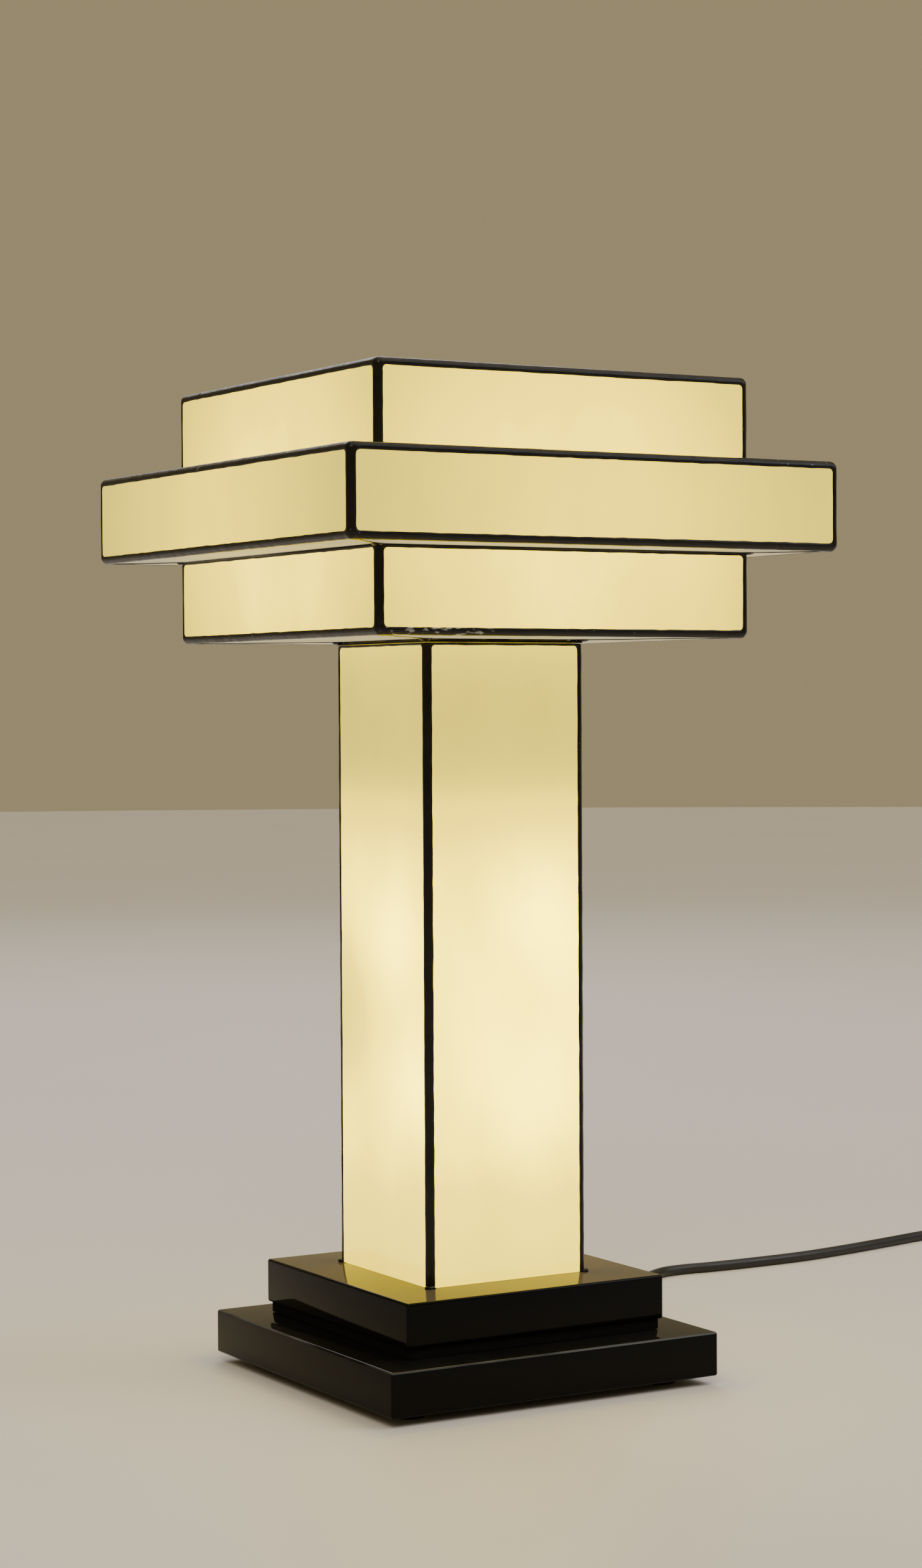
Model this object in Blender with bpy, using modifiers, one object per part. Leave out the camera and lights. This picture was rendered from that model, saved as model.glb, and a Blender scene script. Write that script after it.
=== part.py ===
"""Art-glass table lamp: three stacked opal glass boxes on a lit square column and a stepped black base.

Metres, +Z up. The origin is on the table under the middle of the lamp. The front is -Y; the cord
leaves at +Y.
"""
import math

import bmesh
import bpy
from mathutils import Matrix, Vector

MM = 0.001
GAP = 0.3 * MM                    # clearance kept between pieces that touch

# glass and solder
GLASS = 3.0 * MM                  # sheet thickness
SEAM = 3.8 * MM                   # width of a solder seam on each face of an outer edge
THIN_SEAM = 1.0 * MM              # height of the fine solder line in an inner corner
BEAD = 0.3 * MM                   # how far the solder stands proud of the glass
SEAM_ROUND = 1.1 * MM
MITRE_SEAM = 3.0 * MM             # width of the diagonal seams in the flat rings

# base
FOOT_HEIGHT = 4.5 * MM
FOOT_RADIUS = 9.0 * MM
FOOT_INSET = 21.0 * MM
SLAB_THICK = 22.0 * MM
SLAB_ROUND = 0.9 * MM
LOWER_SLAB_SIDE = 186.0 * MM
UPPER_SLAB_SIDE = 147.0 * MM
SPACER_THICK = 5.5 * MM
SPACER_INSET = 2.0 * MM
CAVITY_X = (-42.0 * MM, 60.0 * MM)
CAVITY_Y = (-40.0 * MM, 40.0 * MM)
CAVITY_DEPTH = 14.0 * MM
COVER_THICK = 1.2 * MM
COVER_LAP = 7.0 * MM

# column
COLUMN_SIDE = 91.5 * MM
COLUMN_GLASS_HEIGHT = 315.2 * MM
LOCATOR_THICK = 3.0 * MM
TOP_PLATE_THICK = 1.2 * MM
TOP_PLATE_INSET = 0.5 * MM
LUG_LENGTH = 12.0 * MM
LUG_THICK = 2.0 * MM
LUG_HEIGHT = 4.0 * MM

# shade
SMALL_TIER_SIDE = 210.0 * MM
WIDE_TIER_SIDE = 273.0 * MM
LOWER_TIER_HEIGHT = 41.7 * MM
MIDDLE_TIER_HEIGHT = 44.0 * MM
TOP_TIER_HEIGHT = 42.0 * MM
OPENING_SIDE = 79.0 * MM          # clear square hole in the shade's floor
RIM_WIDTH = 3.5 * MM

# lamp fittings
TUBE_RADIUS = 5.0 * MM
TUBE_BORE = 3.5 * MM
TUBE_ENTRY = 4.5 * MM             # how far a threaded end goes into a lampholder
NUT_RADIUS = 11.0 * MM
NUT_THICK = 5.0 * MM
HOLDER_RADIUS = 14.0 * MM
HOLDER_HEIGHT = 30.0 * MM
HOLDER_BORE = 7.4 * MM
HOLDER_BORE_DEPTH = 22.5 * MM
BULB_CAP_RADIUS = 6.9 * MM
BULB_CAP_LENGTH = 21.5 * MM
BULB_TIP = 2.0 * MM               # height of the cap's cone at its contact
BULB_WAIST = 2.0 * MM             # how far a tubular bulb draws in above its cap
ARM_THICK = 2.5 * MM
ARM_WIDTH = 20.0 * MM
ARM_REACH = 24.0 * MM             # from the tube's axis to the side bulb's axis
ARM_HEIGHTS = {"lower": 89.0 * MM, "upper": 176.0 * MM}
TUBE_BULB_RADIUS = 12.5 * MM
TUBE_BULB_HEIGHT = 50.0 * MM
GLOBE_RADIUS = 22.5 * MM
GLOBE_HEIGHT = 58.0 * MM

# cord, at rest on the table
CORD_RADIUS = 3.0 * MM
CORD_EXIT_X = 45.0 * MM
CORD_EXIT_Z = 13.0 * MM
CORD_STEP = 15.0 * MM
CORD_GRIP = 1.0 * MM              # rubber round the cord where a sleeve ends
GLAND_LENGTH = 32.0 * MM
GLAND_FLANGE = 8.0 * MM           # its radius
GLAND_FLANGE_THICK = 3.0 * MM
GLAND_SPIGOT = 12.0 * MM          # the part inside the slab
SWITCH_CENTRE = Vector((530.0, 190.0, 9.5)) * MM
SWITCH_SIZE = Vector((62.0, 28.0, 19.0)) * MM
SWITCH_ROUND = 4.0 * MM
ROCKER_SIZE = Vector((22.0, 12.0, 5.0)) * MM
ROCKER_PIVOT_HEIGHT = 17.8 * MM
ROCKER_BELOW_PIVOT = 2.0 * MM
ROCKER_ROUND = 0.8 * MM
ROCKER_TILT = math.radians(8.0)
ROCKER_CLEARANCE = 0.7 * MM
SWITCH_BORE = CORD_RADIUS + 0.8 * MM
COIL_CENTRE = Vector((615.0, 157.0, 0.0)) * MM
COIL_RADIUS = 33.0 * MM           # middle of the turns
COIL_TURNS_WIDE = 3
COIL_TURNS_HIGH = 2
PLUG_SIZE = Vector((36.0, 35.0, 13.7)) * MM
PLUG_BACK = Vector((568.0, 118.0, 6.85)) * MM
PLUG_ROUND = 3.0 * MM
PLUG_RELIEF = 22.0 * MM
PLUG_RELIEF_RADIUS = 6.0 * MM
PIN_RADIUS = 2.0 * MM
PIN_LENGTH = 19.0 * MM
PIN_SPACING = 18.6 * MM
PLUG_SINK = 1.0 * MM              # how far the pins and the sleeve start inside the body

# the cord's centre line in millimetres: straight out, down to the table, then along it in a loose curve
CORD_ROUTE = (
    (45, 125.4, 13), (45, 134, 12.9), (46, 147, 10), (50, 160, 5.2), (58, 171, 3), (74, 180, 3),
    (96, 181, 3), (122, 173, 3), (150, 160, 3), (178, 151, 3), (202, 150.5, 3), (220, 158, 3),
    (236, 166.5, 3), (253, 168, 3), (270, 166, 3), (300, 165, 3), (337, 165.8, 3), (373, 170.8, 3),
    (412, 178.5, 3), (441, 184.8, 3), (461, 188.4, 3.3), (476, 190, 6), (490, 190.2, 9.2),
    (505, 190, 9.5), (530, 190, 9.5), (555, 190, 9.5), (568, 190.6, 9.3), (580, 192.8, 7.4),
    (592, 195.2, 6),
)

# heights that follow from the sizes above
LOWER_SLAB_TOP = FOOT_HEIGHT + SLAB_THICK
UPPER_SLAB_BOTTOM = LOWER_SLAB_TOP + SPACER_THICK
BASE_TOP = UPPER_SLAB_BOTTOM + SLAB_THICK
CAVITY_TOP = FOOT_HEIGHT + CAVITY_DEPTH
COLUMN_BOTTOM = BASE_TOP + GAP
COLUMN_TOP = COLUMN_BOTTOM + COLUMN_GLASS_HEIGHT + GAP
PLATE_TOP = COLUMN_TOP + GAP + TOP_PLATE_THICK
LOWER_TIER = (PLATE_TOP + GAP, PLATE_TOP + GAP + LOWER_TIER_HEIGHT)
MIDDLE_TIER = (LOWER_TIER[1] + GAP, LOWER_TIER[1] + GAP + MIDDLE_TIER_HEIGHT)
TOP_TIER = (MIDDLE_TIER[1] + GAP, MIDDLE_TIER[1] + GAP + TOP_TIER_HEIGHT)
COLUMN_HALF = COLUMN_SIDE / 2
SMALL_HALF = SMALL_TIER_SIDE / 2
WIDE_HALF = WIDE_TIER_SIDE / 2
OPENING_HALF = OPENING_SIDE / 2
BORE_CLEARANCE = TUBE_RADIUS + GAP
RING_SEAM_HEIGHT = GLASS + 2 * BEAD
SIDE_GLASS_EDGE = max(SEAM, RING_SEAM_HEIGHT) + GAP      # from a box's rim to its upright glass
CUT_MARGIN = 3.0 * MM             # how far a cut runs past the face it opens

SIDES = {"front": 0, "right": 90, "back": 180, "left": 270}


def clear_scene():
    for obj in list(bpy.data.objects):
        bpy.data.objects.remove(obj, do_unlink=True)


def collection(name):
    made = bpy.data.collections.new(name)
    bpy.context.scene.collection.children.link(made)
    return made


def finish(name, red, green, blue, roughness, metallic=0.0):
    """One Principled finish, its colour given as linear red, green and blue."""
    made = bpy.data.materials.new(name)
    made.use_nodes = True
    shader = made.node_tree.nodes["Principled BSDF"]
    shader.inputs["Base Color"].default_value = (red, green, blue, 1.0)
    shader.inputs["Roughness"].default_value = roughness
    shader.inputs["Metallic"].default_value = metallic
    return made


clear_scene()
LAMP = collection("glass_table_lamp")
CUTTERS = collection("cutters")
FINISHES = {
    "opal": (0.83, 0.76, 0.58, 0.2, 0.0),
    "solder": (0.02, 0.02, 0.022, 0.35, 1.0),
    "lacquer": (0.008, 0.008, 0.009, 0.08, 0.0),
    "black_board": (0.02, 0.02, 0.02, 0.8, 0.0),
    "rubber": (0.015, 0.015, 0.015, 0.7, 0.0),
    "black_steel": (0.03, 0.03, 0.03, 0.4, 1.0),
    "zinc": (0.6, 0.6, 0.58, 0.35, 1.0),
    "bulb_glass": (0.9, 0.88, 0.8, 0.3, 0.0),
    "holder_plastic": (0.02, 0.02, 0.02, 0.45, 0.0),
    "cord_plastic": (0.012, 0.012, 0.012, 0.5, 0.0),
}


def add(name, data, centre, finish_name):
    """Puts a new named object in the lamp's collection, with a finish of its own."""
    obj = bpy.data.objects.new(name, data)
    obj.location = centre
    data.materials.append(finish(name + "_finish", *FINISHES[finish_name]))
    LAMP.objects.link(obj)
    return obj


def mesh_from(name, build):
    mesh = bpy.data.meshes.new(name)
    bm = bmesh.new()
    build(bm)
    bm.to_mesh(mesh)
    bm.free()
    return mesh


def block_mesh(name, size):
    scale = Matrix.Diagonal((*size, 1.0))
    return mesh_from(name, lambda bm: bmesh.ops.create_cube(bm, size=1.0, matrix=scale))


AXIS_TURNS = {
    "X": Matrix.Rotation(math.pi / 2, 4, "Y"),
    "Y": Matrix.Rotation(-math.pi / 2, 4, "X"),
    "Z": Matrix(),
}


def disc_mesh(name, radius, depth, sides, top_radius=None, axis="Z"):
    top = radius if top_radius is None else top_radius
    return mesh_from(name, lambda bm: bmesh.ops.create_cone(
        bm, cap_ends=True, segments=sides, radius1=radius, radius2=top, depth=depth,
        matrix=AXIS_TURNS[axis]))


def soften(obj, width, segments=2):
    rounding = obj.modifiers.new("rounded_edges", "BEVEL")
    rounding.width = width
    rounding.segments = segments
    rounding.limit_method = "ANGLE"


def block(name, size, centre, finish_name, rounding=0.0):
    obj = add(name, block_mesh(name, size), centre, finish_name)
    if rounding:
        soften(obj, rounding)
    return obj


def block_between(name, low, high, finish_name, rounding=0.0):
    low, high = Vector(low), Vector(high)
    return block(name, high - low, (low + high) / 2, finish_name, rounding)


def boolean(obj, operation, mesh, centre, turn=0.0):
    """Cuts obj with, or joins to it, a mesh placed at centre and turned about Z by degrees."""
    tool = bpy.data.objects.new(f"{obj.name}_{operation.lower()}_{len(obj.modifiers)}", mesh)
    tool.location = centre
    tool.rotation_euler.z = math.radians(turn)
    tool.hide_render = True
    tool.display_type = "WIRE"
    CUTTERS.objects.link(tool)
    step = obj.modifiers.new(tool.name, "BOOLEAN")
    step.operation = operation
    step.solver = "EXACT"
    step.object = tool
    return tool


def cut_block(obj, low, high):
    low, high = Vector(low), Vector(high)
    boolean(obj, "DIFFERENCE", block_mesh("cut", high - low), (low + high) / 2)


def cut_bore(obj, radius, low_z, high_z, x=0.0, y=0.0, sides=20):
    mesh = disc_mesh("bore", radius, high_z - low_z, sides)
    boolean(obj, "DIFFERENCE", mesh, (x, y, (low_z + high_z) / 2))


def turned(name, profile, centre, finish_name, steps=24, closed=False, axis="Z"):
    """A turned solid: the profile (radius, height) runs down its outer side, top to bottom."""
    def outline(bm):
        verts = [bm.verts.new((radius, 0.0, height)) for radius, height in profile]
        for start, end in zip(verts, verts[1:]):
            bm.edges.new((start, end))
        if closed:
            bm.edges.new((verts[-1], verts[0]))
    obj = add(name, mesh_from(name, outline), centre, finish_name)
    if axis == "Y":
        obj.rotation_euler.x = -math.pi / 2
    spin = obj.modifiers.new("turn", "SCREW")
    spin.steps = spin.render_steps = steps
    spin.use_merge_vertices = True
    spin.merge_threshold = 0.00001
    spin.use_smooth_shade = True
    return obj


def plate_outline(name, points, thickness, centre, finish_name, turn=0.0):
    """A flat outline, given as (x, y), with a thickness."""
    curve = bpy.data.curves.new(name, "CURVE")
    curve.dimensions = "2D"
    curve.fill_mode = "BOTH"
    curve.extrude = thickness / 2
    spline = curve.splines.new("POLY")
    spline.points.add(len(points) - 1)
    for point, (x, y) in zip(spline.points, points):
        point.co = (x, y, 0.0, 1.0)
    spline.use_cyclic_u = True
    obj = add(name, curve, centre, finish_name)
    obj.rotation_euler.z = math.radians(turn)
    return obj


def smooth_path(route, step):
    """Points a step apart along a smooth curve through the route's points."""
    points = [Vector(point) * MM for point in route]
    points = [2 * points[0] - points[1]] + points + [2 * points[-1] - points[-2]]
    fine = []
    for before, start, end, after in zip(points, points[1:], points[2:], points[3:]):
        for i in range(16):
            t = i / 16
            fine.append(0.5 * (2 * start + (end - before) * t
                               + (2 * before - 5 * start + 4 * end - after) * t ** 2
                               + (3 * start - before - 3 * end + after) * t ** 3))
    fine.append(points[-2])
    lengths = [0.0]
    for start, end in zip(fine, fine[1:]):
        lengths.append(lengths[-1] + (end - start).length)
    count = max(2, round(lengths[-1] / step))
    path, i = [], 0
    for k in range(count + 1):
        along = lengths[-1] * k / count
        while i < len(fine) - 2 and lengths[i + 1] < along:
            i += 1
        share = (along - lengths[i]) / (lengths[i + 1] - lengths[i])
        place = fine[i].lerp(fine[i + 1], share)
        place.z = max(place.z, CORD_RADIUS)
        path.append(place)
    return path


# ---------------------------------------------------------------- base
def build_feet():
    reach = LOWER_SLAB_SIDE / 2 - FOOT_INSET
    height = FOOT_HEIGHT - GAP
    for depth, y in (("front", -reach), ("rear", reach)):
        for side, x in (("left", -reach), ("right", reach)):
            name = f"foot_{depth}_{side}"
            mesh = disc_mesh(name, 0.85 * FOOT_RADIUS, height, 20, top_radius=FOOT_RADIUS)
            add(name, mesh, (x, y, height / 2), "rubber")


def build_base():
    half = LOWER_SLAB_SIDE / 2
    lower = block_between("lower_slab", (-half, -half, FOOT_HEIGHT), (half, half, LOWER_SLAB_TOP),
                          "lacquer", SLAB_ROUND)
    cut_block(lower, (CAVITY_X[0], CAVITY_Y[0], FOOT_HEIGHT - CUT_MARGIN),
              (CAVITY_X[1], CAVITY_Y[1], CAVITY_TOP))
    cut_bore(lower, BORE_CLEARANCE, CAVITY_TOP - CUT_MARGIN, LOWER_SLAB_TOP + CUT_MARGIN)
    cord_hole_end = half + CUT_MARGIN
    cord_hole = disc_mesh("cord_hole", BORE_CLEARANCE, cord_hole_end, 20, axis="Y")
    boolean(lower, "DIFFERENCE", cord_hole, (CORD_EXIT_X, cord_hole_end / 2 + CAVITY_Y[1] / 2, CORD_EXIT_Z))

    half = UPPER_SLAB_SIDE / 2 - SPACER_INSET
    spacer = block_between("slab_spacer", (-half, -half, LOWER_SLAB_TOP + GAP),
                           (half, half, UPPER_SLAB_BOTTOM - GAP), "black_board")
    cut_bore(spacer, BORE_CLEARANCE, LOWER_SLAB_TOP - CUT_MARGIN, UPPER_SLAB_BOTTOM + CUT_MARGIN)

    half = UPPER_SLAB_SIDE / 2
    upper = block_between("upper_slab", (-half, -half, UPPER_SLAB_BOTTOM), (half, half, BASE_TOP),
                          "lacquer", SLAB_ROUND)
    cut_bore(upper, BORE_CLEARANCE, UPPER_SLAB_BOTTOM - CUT_MARGIN, BASE_TOP + CUT_MARGIN)

    cover_top = FOOT_HEIGHT - GAP
    low = (CAVITY_X[0] - COVER_LAP, CAVITY_Y[0] - COVER_LAP, cover_top - COVER_THICK)
    high = (CAVITY_X[1] + COVER_LAP, CAVITY_Y[1] + COVER_LAP, cover_top)
    block_between("base_cover", low, high, "black_board")


def build_centre_tube():
    tube_bottom = CAVITY_TOP - GAP - NUT_THICK - TUBE_ENTRY
    tube_top = PLATE_TOP + GAP + TUBE_ENTRY
    wall = ((TUBE_RADIUS, tube_top), (TUBE_RADIUS, tube_bottom),
            (TUBE_BORE, tube_bottom), (TUBE_BORE, tube_top))
    turned("centre_tube", wall, (0, 0, 0), "zinc", steps=20, closed=True)
    nut_centre = CAVITY_TOP - GAP - NUT_THICK / 2
    nut = add("base_nut", disc_mesh("base_nut", NUT_RADIUS, NUT_THICK, 6), (0, 0, nut_centre), "zinc")
    cut_bore(nut, BORE_CLEARANCE, nut_centre - NUT_THICK, nut_centre + NUT_THICK)


# ---------------------------------------------------------------- glass and solder
def turned_about_z(place, degrees):
    return Matrix.Rotation(math.radians(degrees), 3, "Z") @ place


def side_panels(name, half, bottom, top):
    """Four upright sheets of one box, their faces set back from the solder by its bead."""
    width = 2 * (half - SEAM - GAP)
    out = half - BEAD - GLASS / 2
    for side, turn in SIDES.items():
        centre = turned_about_z(Vector((0.0, -out, (bottom + top) / 2)), turn)
        panel = block(f"{name}_{side}", (width, GLASS, top - bottom), centre, "opal")
        panel.rotation_euler.z = math.radians(turn)


def ring_strips(name, inner, outer, bottom):
    """Four mitred flat strips of one square ring, with room for the diagonal seams between them."""
    mitre = (MITRE_SEAM / 2 + GAP) * math.sqrt(2)
    outline = ((mitre - outer, -outer), (outer - mitre, -outer),
               (inner - mitre, -inner), (mitre - inner, -inner))
    for side, turn in SIDES.items():
        plate_outline(f"{name}_{side}", outline, GLASS, (0, 0, bottom + GLASS / 2), "opal", turn)


def solder_frame(name, half, bottom, top, bottom_bar, top_bar):
    """The solder along one box's edges: four uprights joined by a bar at each level that has one."""
    frame = block_between(name, (-half, -half, bottom), (half, half, top), "solder", SEAM_ROUND)
    clear = half - SEAM
    past = half + SEAM
    low = bottom + bottom_bar if bottom_bar else bottom - SEAM
    high = top - top_bar
    cut_block(frame, (-past, -clear, low), (past, clear, high))
    cut_block(frame, (-clear, -past, low), (clear, past, high))
    cut_block(frame, (-clear, -clear, bottom - SEAM), (clear, clear, top + SEAM))
    return frame


def mitre_seams(frame, inner, half, bottom):
    """The four diagonal seams of a flat ring, joined to the frame's corners."""
    reach = half - SEAM / 2
    length = (reach - inner) * math.sqrt(2)
    middle = (reach + inner) / 2
    for x, y, turn in ((1, 1, 45), (-1, 1, 135), (-1, -1, 225), (1, -1, 315)):
        mesh = block_mesh("mitre", (length, MITRE_SEAM, RING_SEAM_HEIGHT))
        centre = (x * middle, y * middle, bottom + RING_SEAM_HEIGHT / 2)
        boolean(frame, "UNION", mesh, centre, turn)


def build_column():
    panel_top = COLUMN_TOP - THIN_SEAM - GAP
    side_panels("column_glass", COLUMN_HALF, COLUMN_BOTTOM, panel_top)
    solder_frame("column_frame", COLUMN_HALF, COLUMN_BOTTOM, COLUMN_TOP, 0.0, THIN_SEAM)

    half = COLUMN_HALF - SEAM - GAP
    locator_top = COLUMN_BOTTOM + LOCATOR_THICK
    locator = block_between("column_locator", (-half, -half, COLUMN_BOTTOM), (half, half, locator_top),
                            "black_board")
    cut_bore(locator, BORE_CLEARANCE, COLUMN_BOTTOM - CUT_MARGIN, locator_top + CUT_MARGIN)

    half = COLUMN_HALF - TOP_PLATE_INSET
    plate_bottom = PLATE_TOP - TOP_PLATE_THICK
    plate = block_between("column_top_plate", (-half, -half, plate_bottom), (half, half, PLATE_TOP),
                          "black_steel")
    lug_out = OPENING_HALF - GAP - LUG_THICK / 2
    lug_bottom = PLATE_TOP - TOP_PLATE_THICK / 2
    lug_top = PLATE_TOP + LUG_HEIGHT
    for turn in SIDES.values():
        centre = turned_about_z(Vector((0.0, -lug_out, (lug_bottom + lug_top) / 2)), turn)
        lug = block_mesh("lug", (LUG_LENGTH, LUG_THICK, lug_top - lug_bottom))
        boolean(plate, "UNION", lug, centre, turn)
    cut_bore(plate, BORE_CLEARANCE, plate_bottom - CUT_MARGIN, PLATE_TOP + CUT_MARGIN)


def build_shade():
    inner = SMALL_HALF - SEAM
    glass_edge = WIDE_HALF - SEAM - GAP
    rim_out = OPENING_HALF + RIM_WIDTH

    low, high = LOWER_TIER
    side_panels("lower_tier_glass", SMALL_HALF, low + SIDE_GLASS_EDGE, high - THIN_SEAM - GAP)
    ring_strips("floor_glass", rim_out + GAP, inner - GAP, low + BEAD)
    frame = solder_frame("lower_tier_frame", SMALL_HALF, low, high, SEAM, THIN_SEAM)
    mitre_seams(frame, rim_out + GAP, SMALL_HALF, low)
    rim_top = low + RING_SEAM_HEIGHT
    rim = block_between("opening_rim", (-rim_out, -rim_out, low), (rim_out, rim_out, rim_top), "solder")
    cut_block(rim, (-OPENING_HALF, -OPENING_HALF, low - CUT_MARGIN),
              (OPENING_HALF, OPENING_HALF, rim_top + CUT_MARGIN))

    low, high = MIDDLE_TIER
    side_panels("middle_tier_glass", WIDE_HALF, low + SIDE_GLASS_EDGE, high - SIDE_GLASS_EDGE)
    ring_strips("lower_step_glass", inner, glass_edge, low + BEAD)
    ring_strips("upper_step_glass", inner, glass_edge, high - BEAD - GLASS)
    frame = solder_frame("middle_tier_frame", WIDE_HALF, low, high, SEAM, SEAM)
    mitre_seams(frame, inner, WIDE_HALF, low)
    mitre_seams(frame, inner, WIDE_HALF, high - RING_SEAM_HEIGHT)

    low, high = TOP_TIER
    side_panels("top_tier_glass", SMALL_HALF, low + THIN_SEAM + GAP, high - SEAM - GAP)
    solder_frame("top_tier_frame", SMALL_HALF, low, high, THIN_SEAM, SEAM)
    lid = inner - GAP
    block_between("top_glass", (-lid, -lid, high - BEAD - GLASS), (lid, lid, high - BEAD), "opal")


# ---------------------------------------------------------------- lampholders and bulbs
def holder(name, x, bottom):
    top = HOLDER_HEIGHT
    seat = top - HOLDER_BORE_DEPTH
    entry = TUBE_ENTRY + GAP
    profile = ((0, seat), (HOLDER_BORE, seat), (HOLDER_BORE, top), (HOLDER_RADIUS, top),
               (HOLDER_RADIUS, 0), (BORE_CLEARANCE, 0), (BORE_CLEARANCE, entry), (0, entry))
    turned(name, profile, (x, 0, bottom), "holder_plastic")


def bulb(name, x, holder_bottom, envelope):
    """A screw-cap bulb with its origin at the holder's mouth; envelope is its glass, from the top down."""
    cap = BULB_CAP_RADIUS
    profile = tuple(envelope) + ((cap, GAP), (cap, BULB_TIP - BULB_CAP_LENGTH),
                                 (0.5 * cap, -BULB_CAP_LENGTH), (0, -BULB_CAP_LENGTH))
    turned(name, profile, (x, 0, holder_bottom + HOLDER_HEIGHT), "bulb_glass")


def dome(height, radius, sweep, steps):
    """Points (radius, height) down a ball's surface from its top, through sweep degrees."""
    points = [(0.0, height)]
    for i in range(1, steps + 1):
        angle = math.radians(sweep * i / steps)
        points.append((radius * math.sin(angle), height - radius * (1 - math.cos(angle))))
    return points


def globe_envelope():
    return dome(GLOBE_HEIGHT, GLOBE_RADIUS, 130, 10) + [(1.3 * BULB_CAP_RADIUS, GAP)]


def tubular_envelope():
    side = [(TUBE_BULB_RADIUS, 0.3 * TUBE_BULB_RADIUS), (TUBE_BULB_RADIUS - BULB_WAIST, GAP)]
    return dome(TUBE_BULB_HEIGHT, TUBE_BULB_RADIUS, 90, 5) + side


def build_lamps():
    top_holder = PLATE_TOP + GAP
    holder("top_holder", 0.0, top_holder)
    bulb("top_bulb", 0.0, top_holder, globe_envelope())
    for name, height in ARM_HEIGHTS.items():
        centre = (ARM_REACH / 2, 0, height + ARM_THICK / 2)
        length = ARM_REACH + ARM_WIDTH
        arm = block(f"{name}_arm", (length, ARM_WIDTH, ARM_THICK), centre, "zinc")
        peg_height = ARM_THICK / 2 + TUBE_ENTRY
        peg_centre = height + ARM_THICK + TUBE_ENTRY - peg_height / 2
        boolean(arm, "UNION", disc_mesh("peg", TUBE_RADIUS, peg_height, 20), (ARM_REACH, 0, peg_centre))
        cut_bore(arm, BORE_CLEARANCE, height - ARM_THICK, height + 2 * ARM_THICK)
        seat = height + ARM_THICK + GAP
        holder(f"{name}_holder", ARM_REACH, seat)
        bulb(f"{name}_bulb", ARM_REACH, seat, tubular_envelope())


# ---------------------------------------------------------------- cord and what is on it
def build_gland():
    back = LOWER_SLAB_SIDE / 2 + GAP
    tip = GLAND_LENGTH - GAP
    profile = ((0, tip), (CORD_RADIUS + CORD_GRIP, tip), (TUBE_RADIUS + CORD_GRIP, GLAND_FLANGE_THICK),
               (GLAND_FLANGE, GLAND_FLANGE_THICK), (GLAND_FLANGE, 0), (TUBE_RADIUS, 0),
               (TUBE_RADIUS, -GLAND_SPIGOT), (0, -GLAND_SPIGOT))
    turned("cord_gland", profile, (CORD_EXIT_X, back, CORD_EXIT_Z), "rubber", axis="Y")


def build_cord():
    curve = bpy.data.curves.new("cord", "CURVE")
    curve.dimensions = "3D"
    curve.bevel_depth = CORD_RADIUS
    curve.bevel_resolution = 2
    curve.use_fill_caps = True
    path = smooth_path(CORD_ROUTE, CORD_STEP)
    spline = curve.splines.new("POLY")
    spline.points.add(len(path) - 1)
    for point, place in zip(spline.points, path):
        point.co = (*place, 1.0)
    add("cord", curve, (0, 0, 0), "cord_plastic")


def build_coil():
    half_width = COIL_TURNS_WIDE * CORD_RADIUS
    height = 2 * COIL_TURNS_HIGH * CORD_RADIUS
    corner = 0.6 * CORD_RADIUS
    inner, outer = COIL_RADIUS - half_width, COIL_RADIUS + half_width
    profile = ((outer - corner, height), (outer, height - corner), (outer, corner), (outer - corner, 0),
               (inner + corner, 0), (inner, corner), (inner, height - corner), (inner + corner, height))
    turned("cord_coil", profile, COIL_CENTRE, "cord_plastic", steps=32, closed=True)


def build_switch():
    body = block("switch_body", SWITCH_SIZE, SWITCH_CENTRE, "cord_plastic", SWITCH_ROUND)
    bore = disc_mesh("cord_bore", SWITCH_BORE, 2 * SWITCH_SIZE.x, 16, axis="X")
    boolean(body, "DIFFERENCE", bore, SWITCH_CENTRE)
    pivot = Vector((SWITCH_CENTRE.x, SWITCH_CENTRE.y, ROCKER_PIVOT_HEIGHT))
    pocket = ROCKER_SIZE / 2 + Vector((1, 1, 0)) * ROCKER_CLEARANCE
    drop = ROCKER_SIZE.x / 2 * math.sin(ROCKER_TILT)
    pocket_floor = pivot.z - ROCKER_BELOW_PIVOT - drop - GAP
    cut_block(body, (pivot.x - pocket.x, pivot.y - pocket.y, pocket_floor),
              (pivot.x + pocket.x, pivot.y + pocket.y, pivot.z + ROCKER_SIZE.z))

    mesh = block_mesh("switch_rocker", ROCKER_SIZE)
    mesh.transform(Matrix.Translation((0, 0, ROCKER_SIZE.z / 2 - ROCKER_BELOW_PIVOT)))
    rocker = add("switch_rocker", mesh, pivot, "holder_plastic")
    rocker.rotation_euler.y = -ROCKER_TILT
    soften(rocker, ROCKER_ROUND)


def build_plug():
    centre = PLUG_BACK - Vector((PLUG_SIZE.x / 2, 0, 0))
    plug = block("plug", PLUG_SIZE, centre, "cord_plastic", PLUG_ROUND)
    length = PLUG_RELIEF + PLUG_SINK
    relief = disc_mesh("relief", CORD_RADIUS + CORD_GRIP, length, 16, PLUG_RELIEF_RADIUS, "X")
    relief.transform(Matrix.Rotation(math.pi, 4, "Z"))
    boolean(plug, "UNION", relief, PLUG_BACK + Vector((length / 2 - PLUG_SINK, 0, 0)))
    length = PIN_LENGTH + PLUG_SINK
    for side in (-1, 1):
        reach = Vector((PLUG_SINK - PLUG_SIZE.x - length / 2, side * PIN_SPACING / 2, 0))
        boolean(plug, "UNION", disc_mesh("pin", PIN_RADIUS, length, 12, axis="X"), PLUG_BACK + reach)


build_feet()
build_base()
build_centre_tube()
build_column()
build_shade()
build_lamps()
build_gland()
build_cord()
build_coil()
build_switch()
build_plug()
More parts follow.
